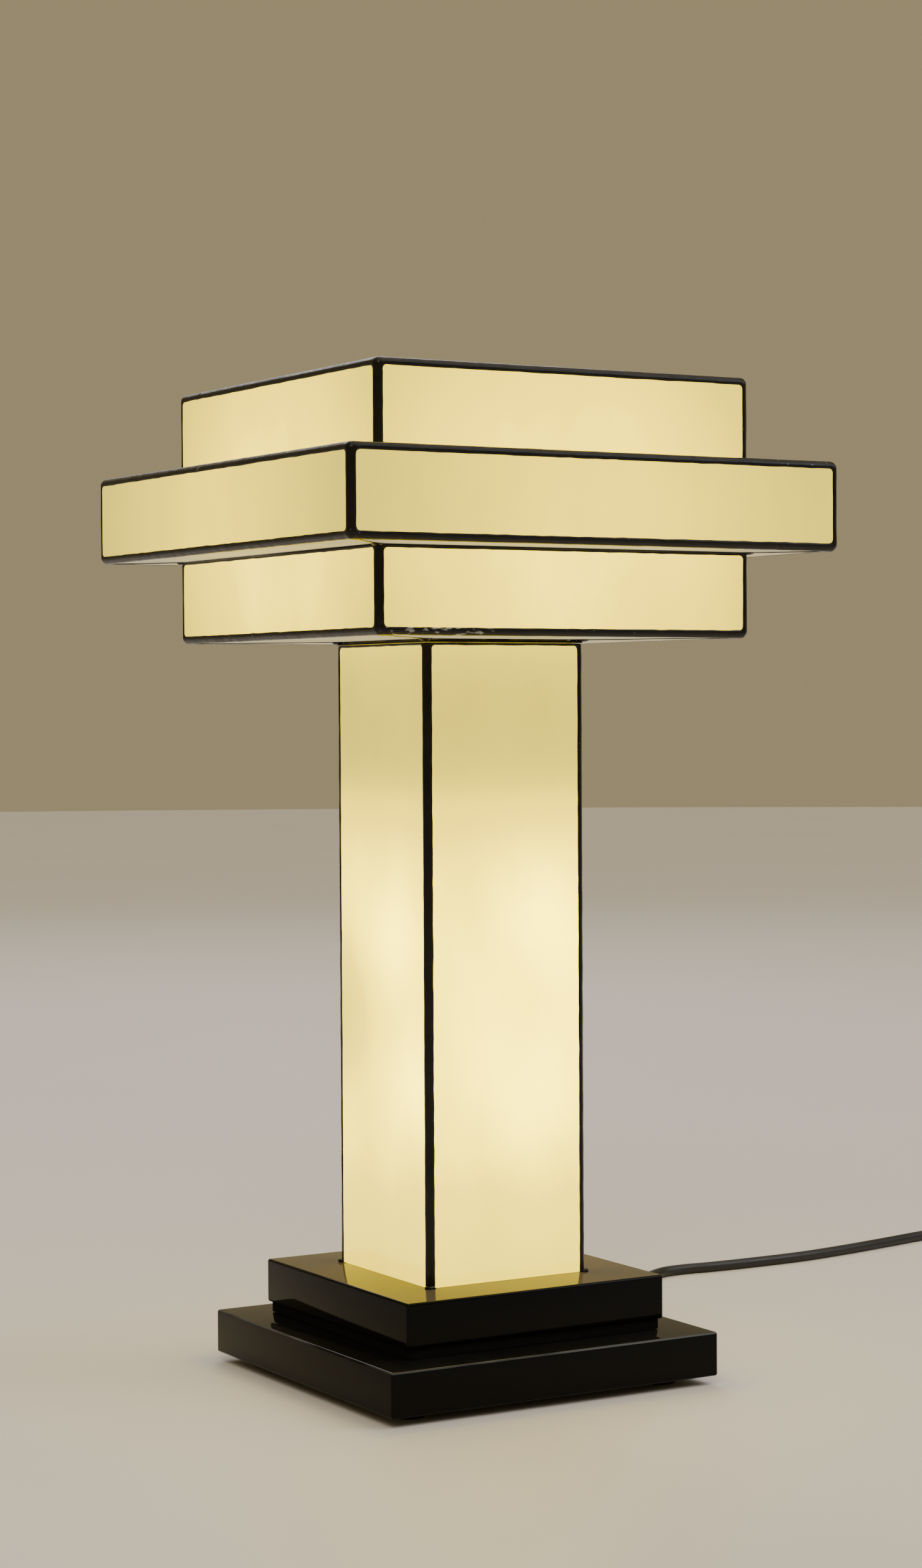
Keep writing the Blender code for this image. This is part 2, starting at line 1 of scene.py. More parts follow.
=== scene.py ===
"""Art-glass table lamp: three stacked boxes of lit opal glass with black solder seams, on a lit square
column and a stepped base in gloss black lacquer, with its cord, switch and plug.

Metres, +Z up; the front is -Y. Sizes below are in millimetres where they are multiplied by MM.
"""
import math

import bmesh
import bpy
from mathutils import Matrix, Vector, noise


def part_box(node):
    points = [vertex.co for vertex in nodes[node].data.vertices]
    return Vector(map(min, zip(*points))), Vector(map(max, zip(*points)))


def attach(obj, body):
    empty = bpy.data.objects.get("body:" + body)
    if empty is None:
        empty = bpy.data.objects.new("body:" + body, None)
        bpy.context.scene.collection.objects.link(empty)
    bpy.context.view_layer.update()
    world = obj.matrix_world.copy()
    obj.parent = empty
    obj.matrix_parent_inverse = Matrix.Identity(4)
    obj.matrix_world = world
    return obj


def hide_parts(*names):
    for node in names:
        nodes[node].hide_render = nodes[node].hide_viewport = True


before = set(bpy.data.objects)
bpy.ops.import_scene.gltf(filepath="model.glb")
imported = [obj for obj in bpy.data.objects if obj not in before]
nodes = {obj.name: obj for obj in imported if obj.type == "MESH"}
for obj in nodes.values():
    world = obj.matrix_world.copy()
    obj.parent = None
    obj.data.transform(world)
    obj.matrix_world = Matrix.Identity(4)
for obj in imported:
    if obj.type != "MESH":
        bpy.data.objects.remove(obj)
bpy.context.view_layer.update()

MM = 0.001
SIDES = {"front": 0, "right": 90, "back": 180, "left": 270}

# camera: its place, its yaw, pitch and roll in radians, and its lens on a 36 mm sensor
CAMERA_PLACE = Vector((-805.33, -1369.22, 337.81)) * MM
CAMERA_TURN = (0.5322, -0.0242, -0.0054)
CAMERA_LENS = 72.02

# glass and solder
GLASS = 3.0 * MM
PANE_RIPPLE = 0.16 * MM
RING_RIPPLE = 0.08 * MM
PANE_STEP = 7.0 * MM              # between the points that carry a pane's ripple
SEAM = 3.8 * MM                   # width of a seam on each face of an outer edge
THIN_SEAM = 1.0 * MM              # seam in an inner corner, where two boxes meet
MITRE_SEAM = 3.0 * MM             # diagonal seam of a flat ring, over both its panes
BEAD = 0.3 * MM                   # how far the solder stands proud of the glass
CROWN = 0.14 * MM                 # how far a seam is domed over its own edges
DIP = 0.1 * MM                    # how far a seam's inner edge goes into the glass
SPILL = 0.22 * MM                 # how far a seam's inner edge flows over its width
WANDER = 0.28 * MM                # how far that edge wanders
HAND_WAVES = ((90.0, 0.16 * MM), (330.0, 0.06 * MM))   # unevenness of a seam: waves per metre, height
EDGE_ROUND = 3.4 * MM             # rounding of the solder over a box's edge
FILLET = 2.3 * MM                 # rounding of a pane's visible corners
SOLDER_DEPTH = 1.1 * MM
JOINT_BEAD = 0.5 * MM             # radius of the bead in an inner corner
UNDER_SOLDER = 2.9 * MM           # how far a pane's edge stays inside the box's outer face

# base
SLAB_EDGE = 1.3 * MM              # rounding of a slab's edges
BORE = 5.3                        # radius of the holes for the centre tube and the cord, in mm
CAVITY = ((-0.042, -0.040), (0.060, 0.040))
CAVITY_DEPTH = 9.8 * MM           # over the centre tube's foot
ARM_REACH = 24.0 * MM             # from the centre tube to the middle of a bulb in the column
FLOOR_RADIUS = 9.0

# cord
CORD_RADIUS = 3.0 * MM
CORD_EXIT = (0.045, 0.1254, 0.013)
CORD_ROUTE = (
    (45, 118, 13), (45, 125.4, 13), (45, 134, 12.9), (46, 147, 10), (50, 160, 5.2), (58, 171, 3),
    (74, 180, 3), (96, 181, 3), (122, 173, 3), (150, 160, 3), (178, 151, 3), (202, 150.5, 3),
    (220, 158, 3), (236, 166.5, 3), (253, 168, 3), (270, 166, 3), (300, 165, 3), (337, 165.8, 3),
    (373, 170.8, 3), (412, 178.5, 3), (441, 184.8, 3), (461, 188.4, 3.3), (476, 190, 6),
    (490, 190.2, 9.2), (505, 190, 9.5), (530, 190, 9.5), (555, 190, 9.5), (567, 190.9, 9.2),
    (579, 193, 7.0), (591, 195, 4.4), (603, 195.9, 3.1),
)
INTO_PLUG = ((36, 0, 1.6), (26, 0, 0.6), (14, 0, 0), (4, 0, 0))   # the cord's last points, from PLUG_BACK
COIL_CENTRE = Vector((615.0, 157.0, 0.0)) * MM
COIL_LANES = (39.0, 33.0, 27.0)   # radius of each turn, from the outside in
COIL_TRAVEL = 1980                # degrees that the coil turns through in all
LANE_EASE = 180                   # degrees over which it changes from lane to lane
PLUG_BACK = Vector((568.0, 118.0, 6.85)) * MM
PLUG_LENGTH = 36.0
PIN_SPACING = 9.3                 # from the plug's middle to a pin's
GLAND_SLEEVE = 31.7               # from the slab's back to the sleeve's end, in mm

# switch
ROCKER_LENGTH = 22.0
ROCKER_WIDTH = 12.0
ROCKER_TILT = math.radians(8.0)
ROCKER_PIVOT = 17.8 * MM          # height of its pivot
POCKET_FLOOR = 13.9 * MM          # height of the floor of the pocket it sits in
POCKET_PLAY = 0.6                 # between the rocker and its pocket's walls
SEAM_LIP = 0.35                   # half the height of the groove where two mouldings meet


# ---------------------------------------------------------------- small helpers
def linear(code):
    """An sRGB hex colour as linear red, green, blue and alpha."""
    parts = [int(code[i:i + 2], 16) / 255 for i in (0, 2, 4)]
    return tuple(p / 12.92 if p <= 0.04045 else ((p + 0.055) / 1.055) ** 2.4 for p in parts) + (1.0,)


def feed(made, inputs):
    """Gives a node's inputs their values, or links from a socket or from a node's first live output."""
    for key, value in inputs.items():
        if isinstance(value, bpy.types.Node):
            value = next(socket for socket in value.outputs if socket.enabled)
        if isinstance(value, bpy.types.NodeSocket):
            made.id_data.links.new(value, made.inputs[key])
        else:
            made.inputs[key].default_value = value
    return made


def node(tree, kind, inputs=None, stops=(), **settings):
    """Adds a node with its settings and links; stops are a colour ramp's (position, hex colour)."""
    made = tree.nodes.new(kind)
    for key, value in settings.items():
        setattr(made, key, value)
    if stops:
        elements = made.color_ramp.elements
        while len(elements) < len(stops):
            elements.new(0.5)
        for element, (position, code) in zip(elements, stops):
            element.position = position
            element.color = linear(code)
    return feed(made, inputs or {})


def stage_object(name, data):
    """A new object in the scene."""
    made = bpy.data.objects.new(name, data)
    bpy.context.scene.collection.objects.link(made)
    return made


def mesh_of(name, bm, scale=1.0):
    """Turns a bmesh into a mesh, scaled, and frees it."""
    mesh = bpy.data.meshes.new(name)
    bm.transform(Matrix.Scale(scale, 4))
    bm.to_mesh(mesh)
    bm.free()
    return mesh


def smoothed(mesh, sharp):
    """Smooth shading, but for the edges sharper than sharp degrees."""
    for face in mesh.polygons:
        face.use_smooth = True
    mesh.set_sharp_from_angle(angle=math.radians(sharp))


def from_bmesh(name, bm, material, sharp=35.0):
    """A new piece at the origin from a bmesh, smooth but for its sharp edges."""
    mesh = mesh_of(name, bm)
    mesh.materials.append(material)
    smoothed(mesh, sharp)
    return stage_object(name, mesh)


def skin(bm, rings):
    """Joins rings of vertices, each to the next, with faces; a ring of one vertex is a pole."""
    for before, after in zip(rings, rings[1:]):
        count = max(len(before), len(after))
        for k in range(count):
            nxt = (k + 1) % count
            if len(before) == 1 and len(after) > 1:
                bm.faces.new((before[0], after[nxt], after[k]))
            elif len(after) == 1 and len(before) > 1:
                bm.faces.new((before[k], before[nxt], after[0]))
            elif len(before) > 1:
                bm.faces.new((before[k], before[nxt], after[nxt], after[k]))


def plain(obj):
    """Turns an object's live modifiers, if any, into a plain mesh."""
    graph = bpy.context.evaluated_depsgraph_get()
    mesh = bpy.data.meshes.new_from_object(obj.evaluated_get(graph), depsgraph=graph)
    obj.modifiers.clear()
    obj.data = mesh
    return obj


def goes(piece, body, slot, *stands_for):
    """Puts a piece on its body; slot is not used; stands_for are the CAD nodes it replaces, which are hidden.
    """
    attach(piece, body)
    if stands_for:
        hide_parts(*stands_for)
    return piece


def about_z(point, degrees):
    """A point of the front side, turned to another side."""
    return Matrix.Rotation(math.radians(degrees), 3, "Z") @ Vector(point)


def joined(piece, *parts):
    """Adds other pieces' meshes to a piece of the same material, and removes them."""
    bm = bmesh.new()
    bm.from_mesh(piece.data)
    for part in parts:
        bm.from_mesh(part.data)
        bpy.data.objects.remove(part)
    bm.to_mesh(piece.data)
    bm.free()
    return piece


def turned_to(piece, centre, axis="Z"):
    """Turns a piece made along Z to another axis and puts its vertices where they belong."""
    turn = {"Z": Matrix(), "Y": Matrix.Rotation(-math.pi / 2, 4, "X"),
            "X": Matrix.Rotation(math.pi / 2, 4, "Y"), "-X": Matrix.Rotation(-math.pi / 2, 4, "Y")}[axis]
    piece.data.transform(Matrix.Translation(Vector(centre)) @ turn)
    return piece


# ---------------------------------------------------------------- node trees for what repeats
def grown(name, material, sizes, build, seed_mesh=None):
    """A piece made by a Geometry Nodes tree. sizes are the tree's named inputs, and build(tree, size,
    start) gives its geometry; start is the seed mesh. The result is a plain mesh."""
    tree = bpy.data.node_groups.new(name, "GeometryNodeTree")
    face = tree.interface
    face.new_socket("Geometry", in_out="INPUT", socket_type="NodeSocketGeometry")
    for key, value in sizes.items():
        face.new_socket(key, in_out="INPUT", socket_type="NodeSocketInt" if isinstance(value, int)
                        else "NodeSocketFloat")
    face.new_socket("Geometry", in_out="OUTPUT", socket_type="NodeSocketGeometry")
    given = node(tree, "NodeGroupInput").outputs
    real = node(tree, "GeometryNodeRealizeInstances", {"Geometry": build(tree, given, given["Geometry"])})
    smooth = node(tree, "GeometryNodeSetShadeSmooth", {"Geometry": real})
    dressed = node(tree, "GeometryNodeSetMaterial", {"Geometry": smooth, "Material": material})
    node(tree, "NodeGroupOutput", {"Geometry": dressed})
    piece = stage_object(name, seed_mesh or bpy.data.meshes.new(name))
    maker = piece.modifiers.new(name, "NODES")
    maker.node_group = tree
    for socket in face.items_tree:
        if socket.in_out == "INPUT" and socket.name in sizes:
            maker[socket.identifier] = sizes[socket.name]
    return plain(piece)


def sleeve_ribs(tree, size, start):
    """Moulded rings along a tapering sleeve, each a little smaller than the one before."""
    offset = node(tree, "ShaderNodeCombineXYZ", {"Z": size["Pitch"]})
    line = node(tree, "GeometryNodeMeshLine", {"Count": size["Ribs"], "Offset": offset}, mode="OFFSET")
    index = node(tree, "GeometryNodeInputIndex")
    less = node(tree, "ShaderNodeMath", {0: index, 1: size["Taper"]}, operation="MULTIPLY")
    share = node(tree, "ShaderNodeMath", {0: 1.0, 1: less}, operation="SUBTRACT")
    across = node(tree, "ShaderNodeCombineXYZ", {"X": share, "Y": share, "Z": 1.0})
    path = node(tree, "GeometryNodeCurvePrimitiveCircle", {"Resolution": 48, "Radius": size["Radius"]})
    wire = node(tree, "GeometryNodeCurvePrimitiveCircle", {"Resolution": 10, "Radius": size["Rib"]})
    ring = node(tree, "GeometryNodeCurveToMesh", {0: path, 1: wire})
    return node(tree, "GeometryNodeInstanceOnPoints", {"Points": line, "Instance": ring, "Scale": across})


def screw_thread(tree, size, start):
    """One rounded thread that winds up a cap."""
    path = node(tree, "GeometryNodeCurveSpiral", {
        "Resolution": 36, "Rotations": size["Turns"], "Start Radius": size["Radius"],
        "End Radius": size["Radius"], "Height": size["Height"]})
    wire = node(tree, "GeometryNodeCurvePrimitiveCircle", {"Resolution": 8, "Radius": size["Thread"]})
    return node(tree, "GeometryNodeCurveToMesh", {0: path, 1: wire, "Fill Caps": True})


def grip_ribs(tree, size, start):
    """Upright ribs round a barrel."""
    count = size["Ribs"]
    path = node(tree, "GeometryNodeCurvePrimitiveCircle", {"Resolution": count, "Radius": size["Radius"]})
    spots = node(tree, "GeometryNodeCurveToPoints", {"Curve": path, "Count": count}, mode="COUNT")
    rib = node(tree, "GeometryNodeMeshCylinder", {"Vertices": 10, "Side Segments": 1, "Radius": size["Rib"],
                                                  "Depth": size["Height"]})
    return node(tree, "GeometryNodeInstanceOnPoints", {"Points": spots, "Instance": rib})


def on_grid(tree, size, start):
    """Copies of the seed mesh at the crossings of a level grid."""
    grid = node(tree, "GeometryNodeMeshGrid", {"Size X": size["Length"], "Size Y": size["Width"],
                                               "Vertices X": size["Along"], "Vertices Y": size["Across"]})
    return node(tree, "GeometryNodeInstanceOnPoints", {"Points": grid, "Instance": start})


# ---------------------------------------------------------------- camera
def build_camera():
    """The camera at the lamp's front left corner, a little over the middle of its height."""
    data = bpy.data.cameras.new("camera")
    data.lens = CAMERA_LENS
    data.sensor_width = 36.0
    camera = stage_object("camera", data)
    yaw, pitch, roll = CAMERA_TURN
    forward = Vector((math.sin(yaw) * math.cos(pitch), math.cos(yaw) * math.cos(pitch), math.sin(pitch)))
    level = Vector((math.cos(yaw), -math.sin(yaw), 0.0))
    upright = level.cross(forward)
    right = level * math.cos(roll) + upright * math.sin(roll)
    up = upright * math.cos(roll) - level * math.sin(roll)
    turn = Matrix((right, up, -forward)).transposed().to_4x4()
    camera.matrix_world = Matrix.Translation(CAMERA_PLACE) @ turn
    bpy.context.scene.camera = camera


build_camera()


# ---------------------------------------------------------------- materials
RAW = {"start": 0.0, "end": 1.0}  # a drift over the whole of its noise, not its middle part
GLOW_STRENGTH = 10.0
# glow of the glass from dim to bright, at GLOW_STRENGTH
GLOW_STEPS = ((0.0, "595019"), (0.25, "675B18"), (0.5, "7E6E12"), (0.75, "9C860A"), (0.88, "BFA803"),
              (1.0, "E7CE03"))
SHADE_BULB = (0.0, 0.0, 0.428)    # the middle of the globe bulb
COLUMN_FOOT, COLUMN_TOP = 0.054, 0.370
# glow down the column's height, as (share of its height, level)
COLUMN_RUN = ((0.0, 0.62), (0.1, 0.71), (0.25, 0.85), (0.6, 0.86), (0.74, 0.66), (0.86, 0.27), (1.0, 0.46))
# bright and dim spots on the column's wide and other faces, as (across, height, width, gain) in mm
WIDE_SPOTS = ((23.5, 232.0, 30.0, 0.13), (19.0, 142.0, 30.0, 0.12))
SIDE_SPOTS = ((-5.0, 226.0, 28.0, 0.12), (-32.0, 148.0, 28.0, 0.12), (46.0, 185.0, 34.0, -0.3))
# where the seams are drawn silvery, as (place, reach) in mm: set where highlights lie on the seams, so partly
# patina rubbed away and partly painted highlight
WORN_AND_GLINT_SPOTS = (((-84.0, -105.0, 372.0), 20.0), ((-58.0, -105.0, 372.0), 18.0), ((-136.0, 20.0, 457.0), 5.0))
JET = "0A0A0B"


def finish(name):
    """A new material; gives it, its tree, its one shader and Object coordinates."""
    made = bpy.data.materials.new(name)
    made.use_nodes = True
    tree = made.node_tree
    return made, tree, tree.nodes["Principled BSDF"], node(tree, "ShaderNodeTexCoord").outputs["Object"]


def drift(tree, place, low, high, size, detail=3.0, stretch=(1.0, 1.0, 1.0), start=0.3, end=0.7):
    """A value, or a hex colour, that drifts from low to high in soft patches about size mm across."""
    laid = node(tree, "ShaderNodeMapping", {"Vector": place, "Scale": stretch})
    patches = node(tree, "ShaderNodeTexNoise", {"Vector": laid, "Scale": 1 / (size * MM), "Detail": detail})
    first, last = (0.0, 1.0) if isinstance(low, str) else (low, high)
    level = node(tree, "ShaderNodeMapRange", {"Value": patches, "From Min": start, "From Max": end,
                                              "To Min": first, "To Max": last})
    if isinstance(low, str):
        return node(tree, "ShaderNodeMix", {0: level, 6: linear(low), 7: linear(high)}, data_type="RGBA")
    return level


def lit_glass(name, level):
    """Opal glass: white in the batch, rolled and fire-polished. Light from inside fills it evenly, faint
    wisps show where the opal is denser, and its face is a clear gloss with a slow ripple."""
    made, tree, shader, place = finish(name)
    wisps = {"size": 38.0, "detail": 4.0, "stretch": (1.0, 1.0, 0.45)}
    denser = drift(tree, place, -0.035, 0.035, **wisps)
    glow = node(tree, "ShaderNodeMath", {0: level(tree, place), 1: denser}, operation="ADD")
    ripple = drift(tree, place, 0.0, 1.0, 22.0, 1.0, **RAW)
    feed(shader, {
        "Base Color": drift(tree, place, "6E5E1C", "7E6E2A", **wisps, **RAW),
        "Roughness": drift(tree, place, 0.09, 0.2, 9.0, 2.0),
        "IOR": 1.52,
        "Coat Weight": 1.0,
        "Coat Roughness": 0.04,
        "Emission Color": node(tree, "ShaderNodeValToRGB", {"Fac": glow}, GLOW_STEPS),
        "Emission Strength": GLOW_STRENGTH,
        "Normal": node(tree, "ShaderNodeBump", {"Height": ripple, "Strength": 0.25, "Distance": 0.4 * MM}),
    })
    return made


def shade_level(tree, place):
    """Brightest where a box's side is nearest the globe bulb, and dimmer towards its corners."""
    away = node(tree, "ShaderNodeVectorMath", {0: place, 1: SHADE_BULB}, operation="DISTANCE")
    return node(tree, "ShaderNodeMapRange", {"Value": away, "From Min": 0.103, "From Max": 0.190,
                                             "To Min": 0.8, "To Max": 0.27}, interpolation_type="SMOOTHSTEP")


def column_level(lateral, spots):
    """A level for two facing sides of the column: a slow run down its height, and a soft spot where each
    tubular bulb stands behind the glass, or where none does. lateral is the axis across the sides."""
    def level(tree, place):
        parts = node(tree, "ShaderNodeSeparateXYZ", {"Vector": place}).outputs
        along = node(tree, "ShaderNodeMapRange", {"Value": parts["Z"], "From Min": COLUMN_FOOT,
                                                  "From Max": COLUMN_TOP})
        total = node(tree, "ShaderNodeFloatCurve", {"Value": along})
        points = total.mapping.curves[0].points
        points[0].location, points[1].location = COLUMN_RUN[0], COLUMN_RUN[-1]
        for height, glow in COLUMN_RUN[1:-1]:
            points.new(height, glow)
        total.mapping.update()
        for across, height, width, gain in spots:
            dx = node(tree, "ShaderNodeMath", {0: parts[lateral], 1: across * MM}, operation="SUBTRACT")
            dz = node(tree, "ShaderNodeMath", {0: parts["Z"], 1: height * MM}, operation="SUBTRACT")
            both = node(tree, "ShaderNodeCombineXYZ", {"X": dx, "Y": dz})
            away = node(tree, "ShaderNodeVectorMath", {0: both, "Scale": 1 / (width * MM)}, operation="SCALE")
            squared = node(tree, "ShaderNodeVectorMath", {0: away, 1: away}, operation="DOT_PRODUCT")
            less = node(tree, "ShaderNodeMath", {0: squared, 1: -1.0}, operation="MULTIPLY")
            bell = node(tree, "ShaderNodeMath", {0: less}, operation="EXPONENT")
            total = node(tree, "ShaderNodeMath", {0: bell, 1: gain, 2: total}, operation="MULTIPLY_ADD")
        return total
    return level


def shaded_glass(name):
    """Opal glass of the rings that face the table: a dim pearl grey glow, painted, partly the bulb's light
    passing it at a low angle and partly a painted reflection of the grey surroundings seen at a grazing
    angle; its face is softened by handling and dust."""
    made, tree, shader, place = finish(name)
    ripple = drift(tree, place, 0.0, 1.0, 22.0, 1.0, **RAW)
    # painted light and reflection: the grey colour and dim grey glow below
    feed(shader, {
        "Base Color": drift(tree, place, "88826F", "969079", 12.0, **RAW),
        "Roughness": drift(tree, place, 0.5, 0.68, 9.0, 2.0),
        "Specular IOR Level": 0.12,
        "Emission Color": drift(tree, place, "7E785F", "958F78", 46.0),
        "Emission Strength": 1.5,
        "Normal": node(tree, "ShaderNodeBump", {"Height": ripple, "Strength": 0.2, "Distance": 0.3 * MM}),
    })
    return made


def black_patina(name):
    """Tin-lead solder, run by hand, blackened with patina and waxed: near black, with brown and blue-grey
    drifts, a wax gloss that lights its rounded edges, silvery flecks where it is rubbed, and silvery patches
    at a few set spots that are partly rubbed patina and partly painted highlight."""
    made, tree, shader, place = finish(name)
    flecks = drift(tree, place, 0.0, 1.0, 1.6, 2.0, start=0.70, end=0.78)
    rubbed = drift(tree, place, 0.0, 1.0, 55.0, 1.0, start=0.56, end=0.66)
    bare_and_glint = node(tree, "ShaderNodeMath", {0: flecks, 1: rubbed}, operation="MULTIPLY")
    flaked = drift(tree, place, 0.0, 1.0, 3.6, 3.0, (0.6, 1.0, 1.6), 0.53, 0.62)
    # partly rubbed patina, partly painted highlight: silvery patches at the set spots
    for spot, reach in WORN_AND_GLINT_SPOTS:
        away = node(tree, "ShaderNodeVectorMath", {0: place, 1: Vector(spot) * MM}, operation="DISTANCE")
        near = node(tree, "ShaderNodeMapRange", {"Value": away, "From Min": 0.6 * reach * MM,
                                                 "From Max": reach * MM, "To Min": 1.0, "To Max": 0.0})
        bare_and_glint = node(tree, "ShaderNodeMath", {0: flaked, 1: near, 2: bare_and_glint}, operation="MULTIPLY_ADD")
    dark = drift(tree, place, "0F1114", "1D1913", 26.0)
    lumps = drift(tree, place, 0.0, 1.0, 3.5, 2.0, **RAW)
    feed(shader, {
        "Base Color": node(tree, "ShaderNodeMix", {0: bare_and_glint, 6: dark, 7: linear("8E8F8B")}, data_type="RGBA"),
        "Roughness": drift(tree, place, 0.2, 0.42, 5.0),
        "Metallic": 0.5,
        "Specular IOR Level": 0.25,
        "Coat Weight": 0.15,
        "Coat Roughness": 0.16,
        "Normal": node(tree, "ShaderNodeBump", {"Height": lumps, "Strength": 0.35, "Distance": 0.25 * MM}),
    })
    return made


def gloss_lacquer(name, top_dust_and_reflection, thick_film, painted_edge_highlight):
    """Polyurethane lacquer, sprayed on board and polished: deep black and mirror-like, with the faint orange
    peel of spraying and hairline wipe marks. The faces that look up are painted lighter, partly fine dust and
    partly painted reflection of the lit room, with specks of thicker dust; pale patches on the rising part of
    the top edges' rounding are a painted highlight. film and thick_film are the colours of those faces and
    their specks, and painted_edge_highlight that of the painted highlight."""
    made, tree, shader, place = finish(name)
    grit = node(tree, "ShaderNodeTexVoronoi", {"Vector": place, "Scale": 1 / (5.0 * MM)}, feature="F1")
    speck = node(tree, "ShaderNodeMapRange", {"Value": grit, "From Min": 0.035, "From Max": 0.07,
                                              "To Min": 1.0, "To Max": 0.0})
    some = drift(tree, place, 0.0, 1.0, 30.0, 2.0, start=0.5, end=0.62)
    settled = node(tree, "ShaderNodeMath", {0: speck, 1: some}, operation="MULTIPLY")
    normal = node(tree, "ShaderNodeNewGeometry").outputs["Normal"]
    upward = node(tree, "ShaderNodeSeparateXYZ", {"Vector": normal}).outputs["Z"]
    # painted reflection and dust: the faces that look up take the lighter colours
    facing = node(tree, "ShaderNodeMapRange", {"Value": upward, "From Min": 0.93, "From Max": 1.0})
    rising = node(tree, "ShaderNodeMapRange", {"Value": upward, "From Min": 0.2, "From Max": 0.45})
    # painted highlight: pale patches on the rising part of the top edges' rounding
    edge_highlight_patches = drift(tree, place, 0.0, 1.0, 70.0, 2.0, start=0.36, end=0.5)
    edge_highlight_mask = node(tree, "ShaderNodeMath", {0: edge_highlight_patches, 1: rising}, operation="MULTIPLY")
    thin, thick, dark, pale = (linear(code) for code in (top_dust_and_reflection, thick_film, JET, painted_edge_highlight))
    dusty_painted_top = node(tree, "ShaderNodeMix", {0: settled, 6: thin, 7: thick}, data_type="RGBA")
    sides = node(tree, "ShaderNodeMix", {0: edge_highlight_mask, 6: dark, 7: pale}, data_type="RGBA")
    wiped = drift(tree, place, 0.0, 0.03, 2.5, 3.0, (0.08, 1.0, 1.0))
    haze = drift(tree, place, 0.02, 0.06, 45.0)
    peel = drift(tree, place, 0.0, 1.0, 7.0, 1.0, **RAW)
    feed(shader, {
        "Base Color": node(tree, "ShaderNodeMix", {0: facing, 6: sides, 7: dusty_painted_top}, data_type="RGBA"),
        "Roughness": node(tree, "ShaderNodeMath", {0: wiped, 1: haze}, operation="ADD"),
        "IOR": 1.5,
        "Specular IOR Level": 0.08,
        "Normal": node(tree, "ShaderNodeBump", {"Height": peel, "Strength": 0.03, "Distance": 0.1 * MM}),
    })
    return made


def moulded(name, colour, shine, grain, strength):
    """Injection-moulded or pressed plastic or rubber: even colour, a spark-eroded grain, and sheen that
    varies where hands have polished it. The grain is drawn several times its real size, so it shows."""
    made, tree, shader, place = finish(name)
    light = "%02X%02X%02X" % tuple(int(colour[i:i + 2], 16) + 12 for i in (0, 2, 4))
    pits = drift(tree, place, 0.0, 1.0, grain, 2.0, **RAW)
    feed(shader, {
        "Base Color": drift(tree, place, colour, light, 14.0),
        "Roughness": drift(tree, place, shine - 0.08, shine + 0.08, 14.0),
        "Normal": node(tree, "ShaderNodeBump", {"Height": pits, "Strength": strength, "Distance": 0.1 * MM}),
    })
    return made


def fibre_board(name):
    """Dyed medium-density board: flat, matt, with short pale fibres."""
    made, tree, shader, place = finish(name)
    fibres = {"size": 1.2, "stretch": (0.25, 1.0, 1.0)}
    nap = drift(tree, place, 0.0, 1.0, **fibres, **RAW)
    feed(shader, {
        "Base Color": drift(tree, place, "080808", "151312", **fibres, start=0.55, end=0.8),
        "Roughness": 0.85,
        "Specular IOR Level": 0.15,
        "Normal": node(tree, "ShaderNodeBump", {"Height": nap, "Strength": 0.4, "Distance": 0.1 * MM}),
    })
    return made


def plated_steel(name, colour, tint, shine):
    """Rolled steel with a thin plating: fine rolling lines and a drifting tint. The lines are drawn
    1 mm apart, coarser than real ones, so they show."""
    made, tree, shader, place = finish(name)
    lines = {"size": 1.0, "detail": 2.0, "stretch": (0.06, 1.0, 1.0)}
    grooves = drift(tree, place, 0.0, 1.0, **lines, **RAW)
    feed(shader, {
        "Base Color": drift(tree, place, colour, tint, 12.0),
        "Roughness": drift(tree, place, shine - 0.08, shine + 0.12, **lines),
        "Metallic": 1.0,
        "Normal": node(tree, "ShaderNodeBump", {"Height": grooves, "Strength": 0.15, "Distance": 0.05 * MM}),
    })
    return made


def frosted_bulb(name):
    """Soda glass, etched inside and lit: evenly bright, with a slow drift of warmer and paler patches."""
    made, tree, shader, place = finish(name)
    feed(shader, {
        "Base Color": linear("EFE6CF"),
        "Roughness": drift(tree, place, 0.2, 0.35, 1.5),
        "IOR": 1.5,
        "Emission Color": drift(tree, place, "FFD98A", "FFE6AE", 18.0, 2.0),
        "Emission Strength": 6.0,
    })
    return made


def pale_table(name):
    """Matt paint on board: an even warm white with the faintest drift of tone."""
    made, tree, shader, place = finish(name)
    feed(shader, {"Base Color": drift(tree, place, "DAD6CF", "E0DCD6", 400.0, 2.0, **RAW), "Roughness": 0.6})
    return made


SHADE_GLASS = lit_glass("rolled_opal_glass_shade", shade_level)
RING_GLASS = shaded_glass("rolled_opal_glass_rings")
WIDE_GLASS = lit_glass("rolled_opal_glass_column_wide", column_level("X", WIDE_SPOTS))
SIDE_GLASS = lit_glass("rolled_opal_glass_column_side", column_level("Y", SIDE_SPOTS))
SOLDER = black_patina("black_patina_solder")
# one lacquer in two copies: the upper slab's with its top painted lighter as painted reflection, the lower
# slab's with its top kept near black as painted shade in the gap under the upper slab, and with a painted
# highlight on its top edge
LACQUER = {"upper_slab": gloss_lacquer("sprayed_black_lacquer_upper", "5A5448", "746E66", JET),
           "lower_slab": gloss_lacquer("sprayed_black_lacquer_lower", "12110F", "2B2823", "494C4F")}
BOARD = fibre_board("dyed_fibre_board")
BLACK_STEEL = plated_steel("blued_sheet_steel", "1B1C20", "2A251F", 0.38)
ZINC = plated_steel("zinc_plated_steel", "A8A9A4", "B3AC92", 0.32)
NICKEL = plated_steel("nickel_plated_brass", "B9B4A6", "A79F88", 0.22)
RUBBER = moulded("moulded_foot_rubber", "151515", 0.68, 0.8, 0.5)
SOFT_BLACK = moulded("moulded_soft_pvc", "121212", 0.5, 0.9, 0.25)
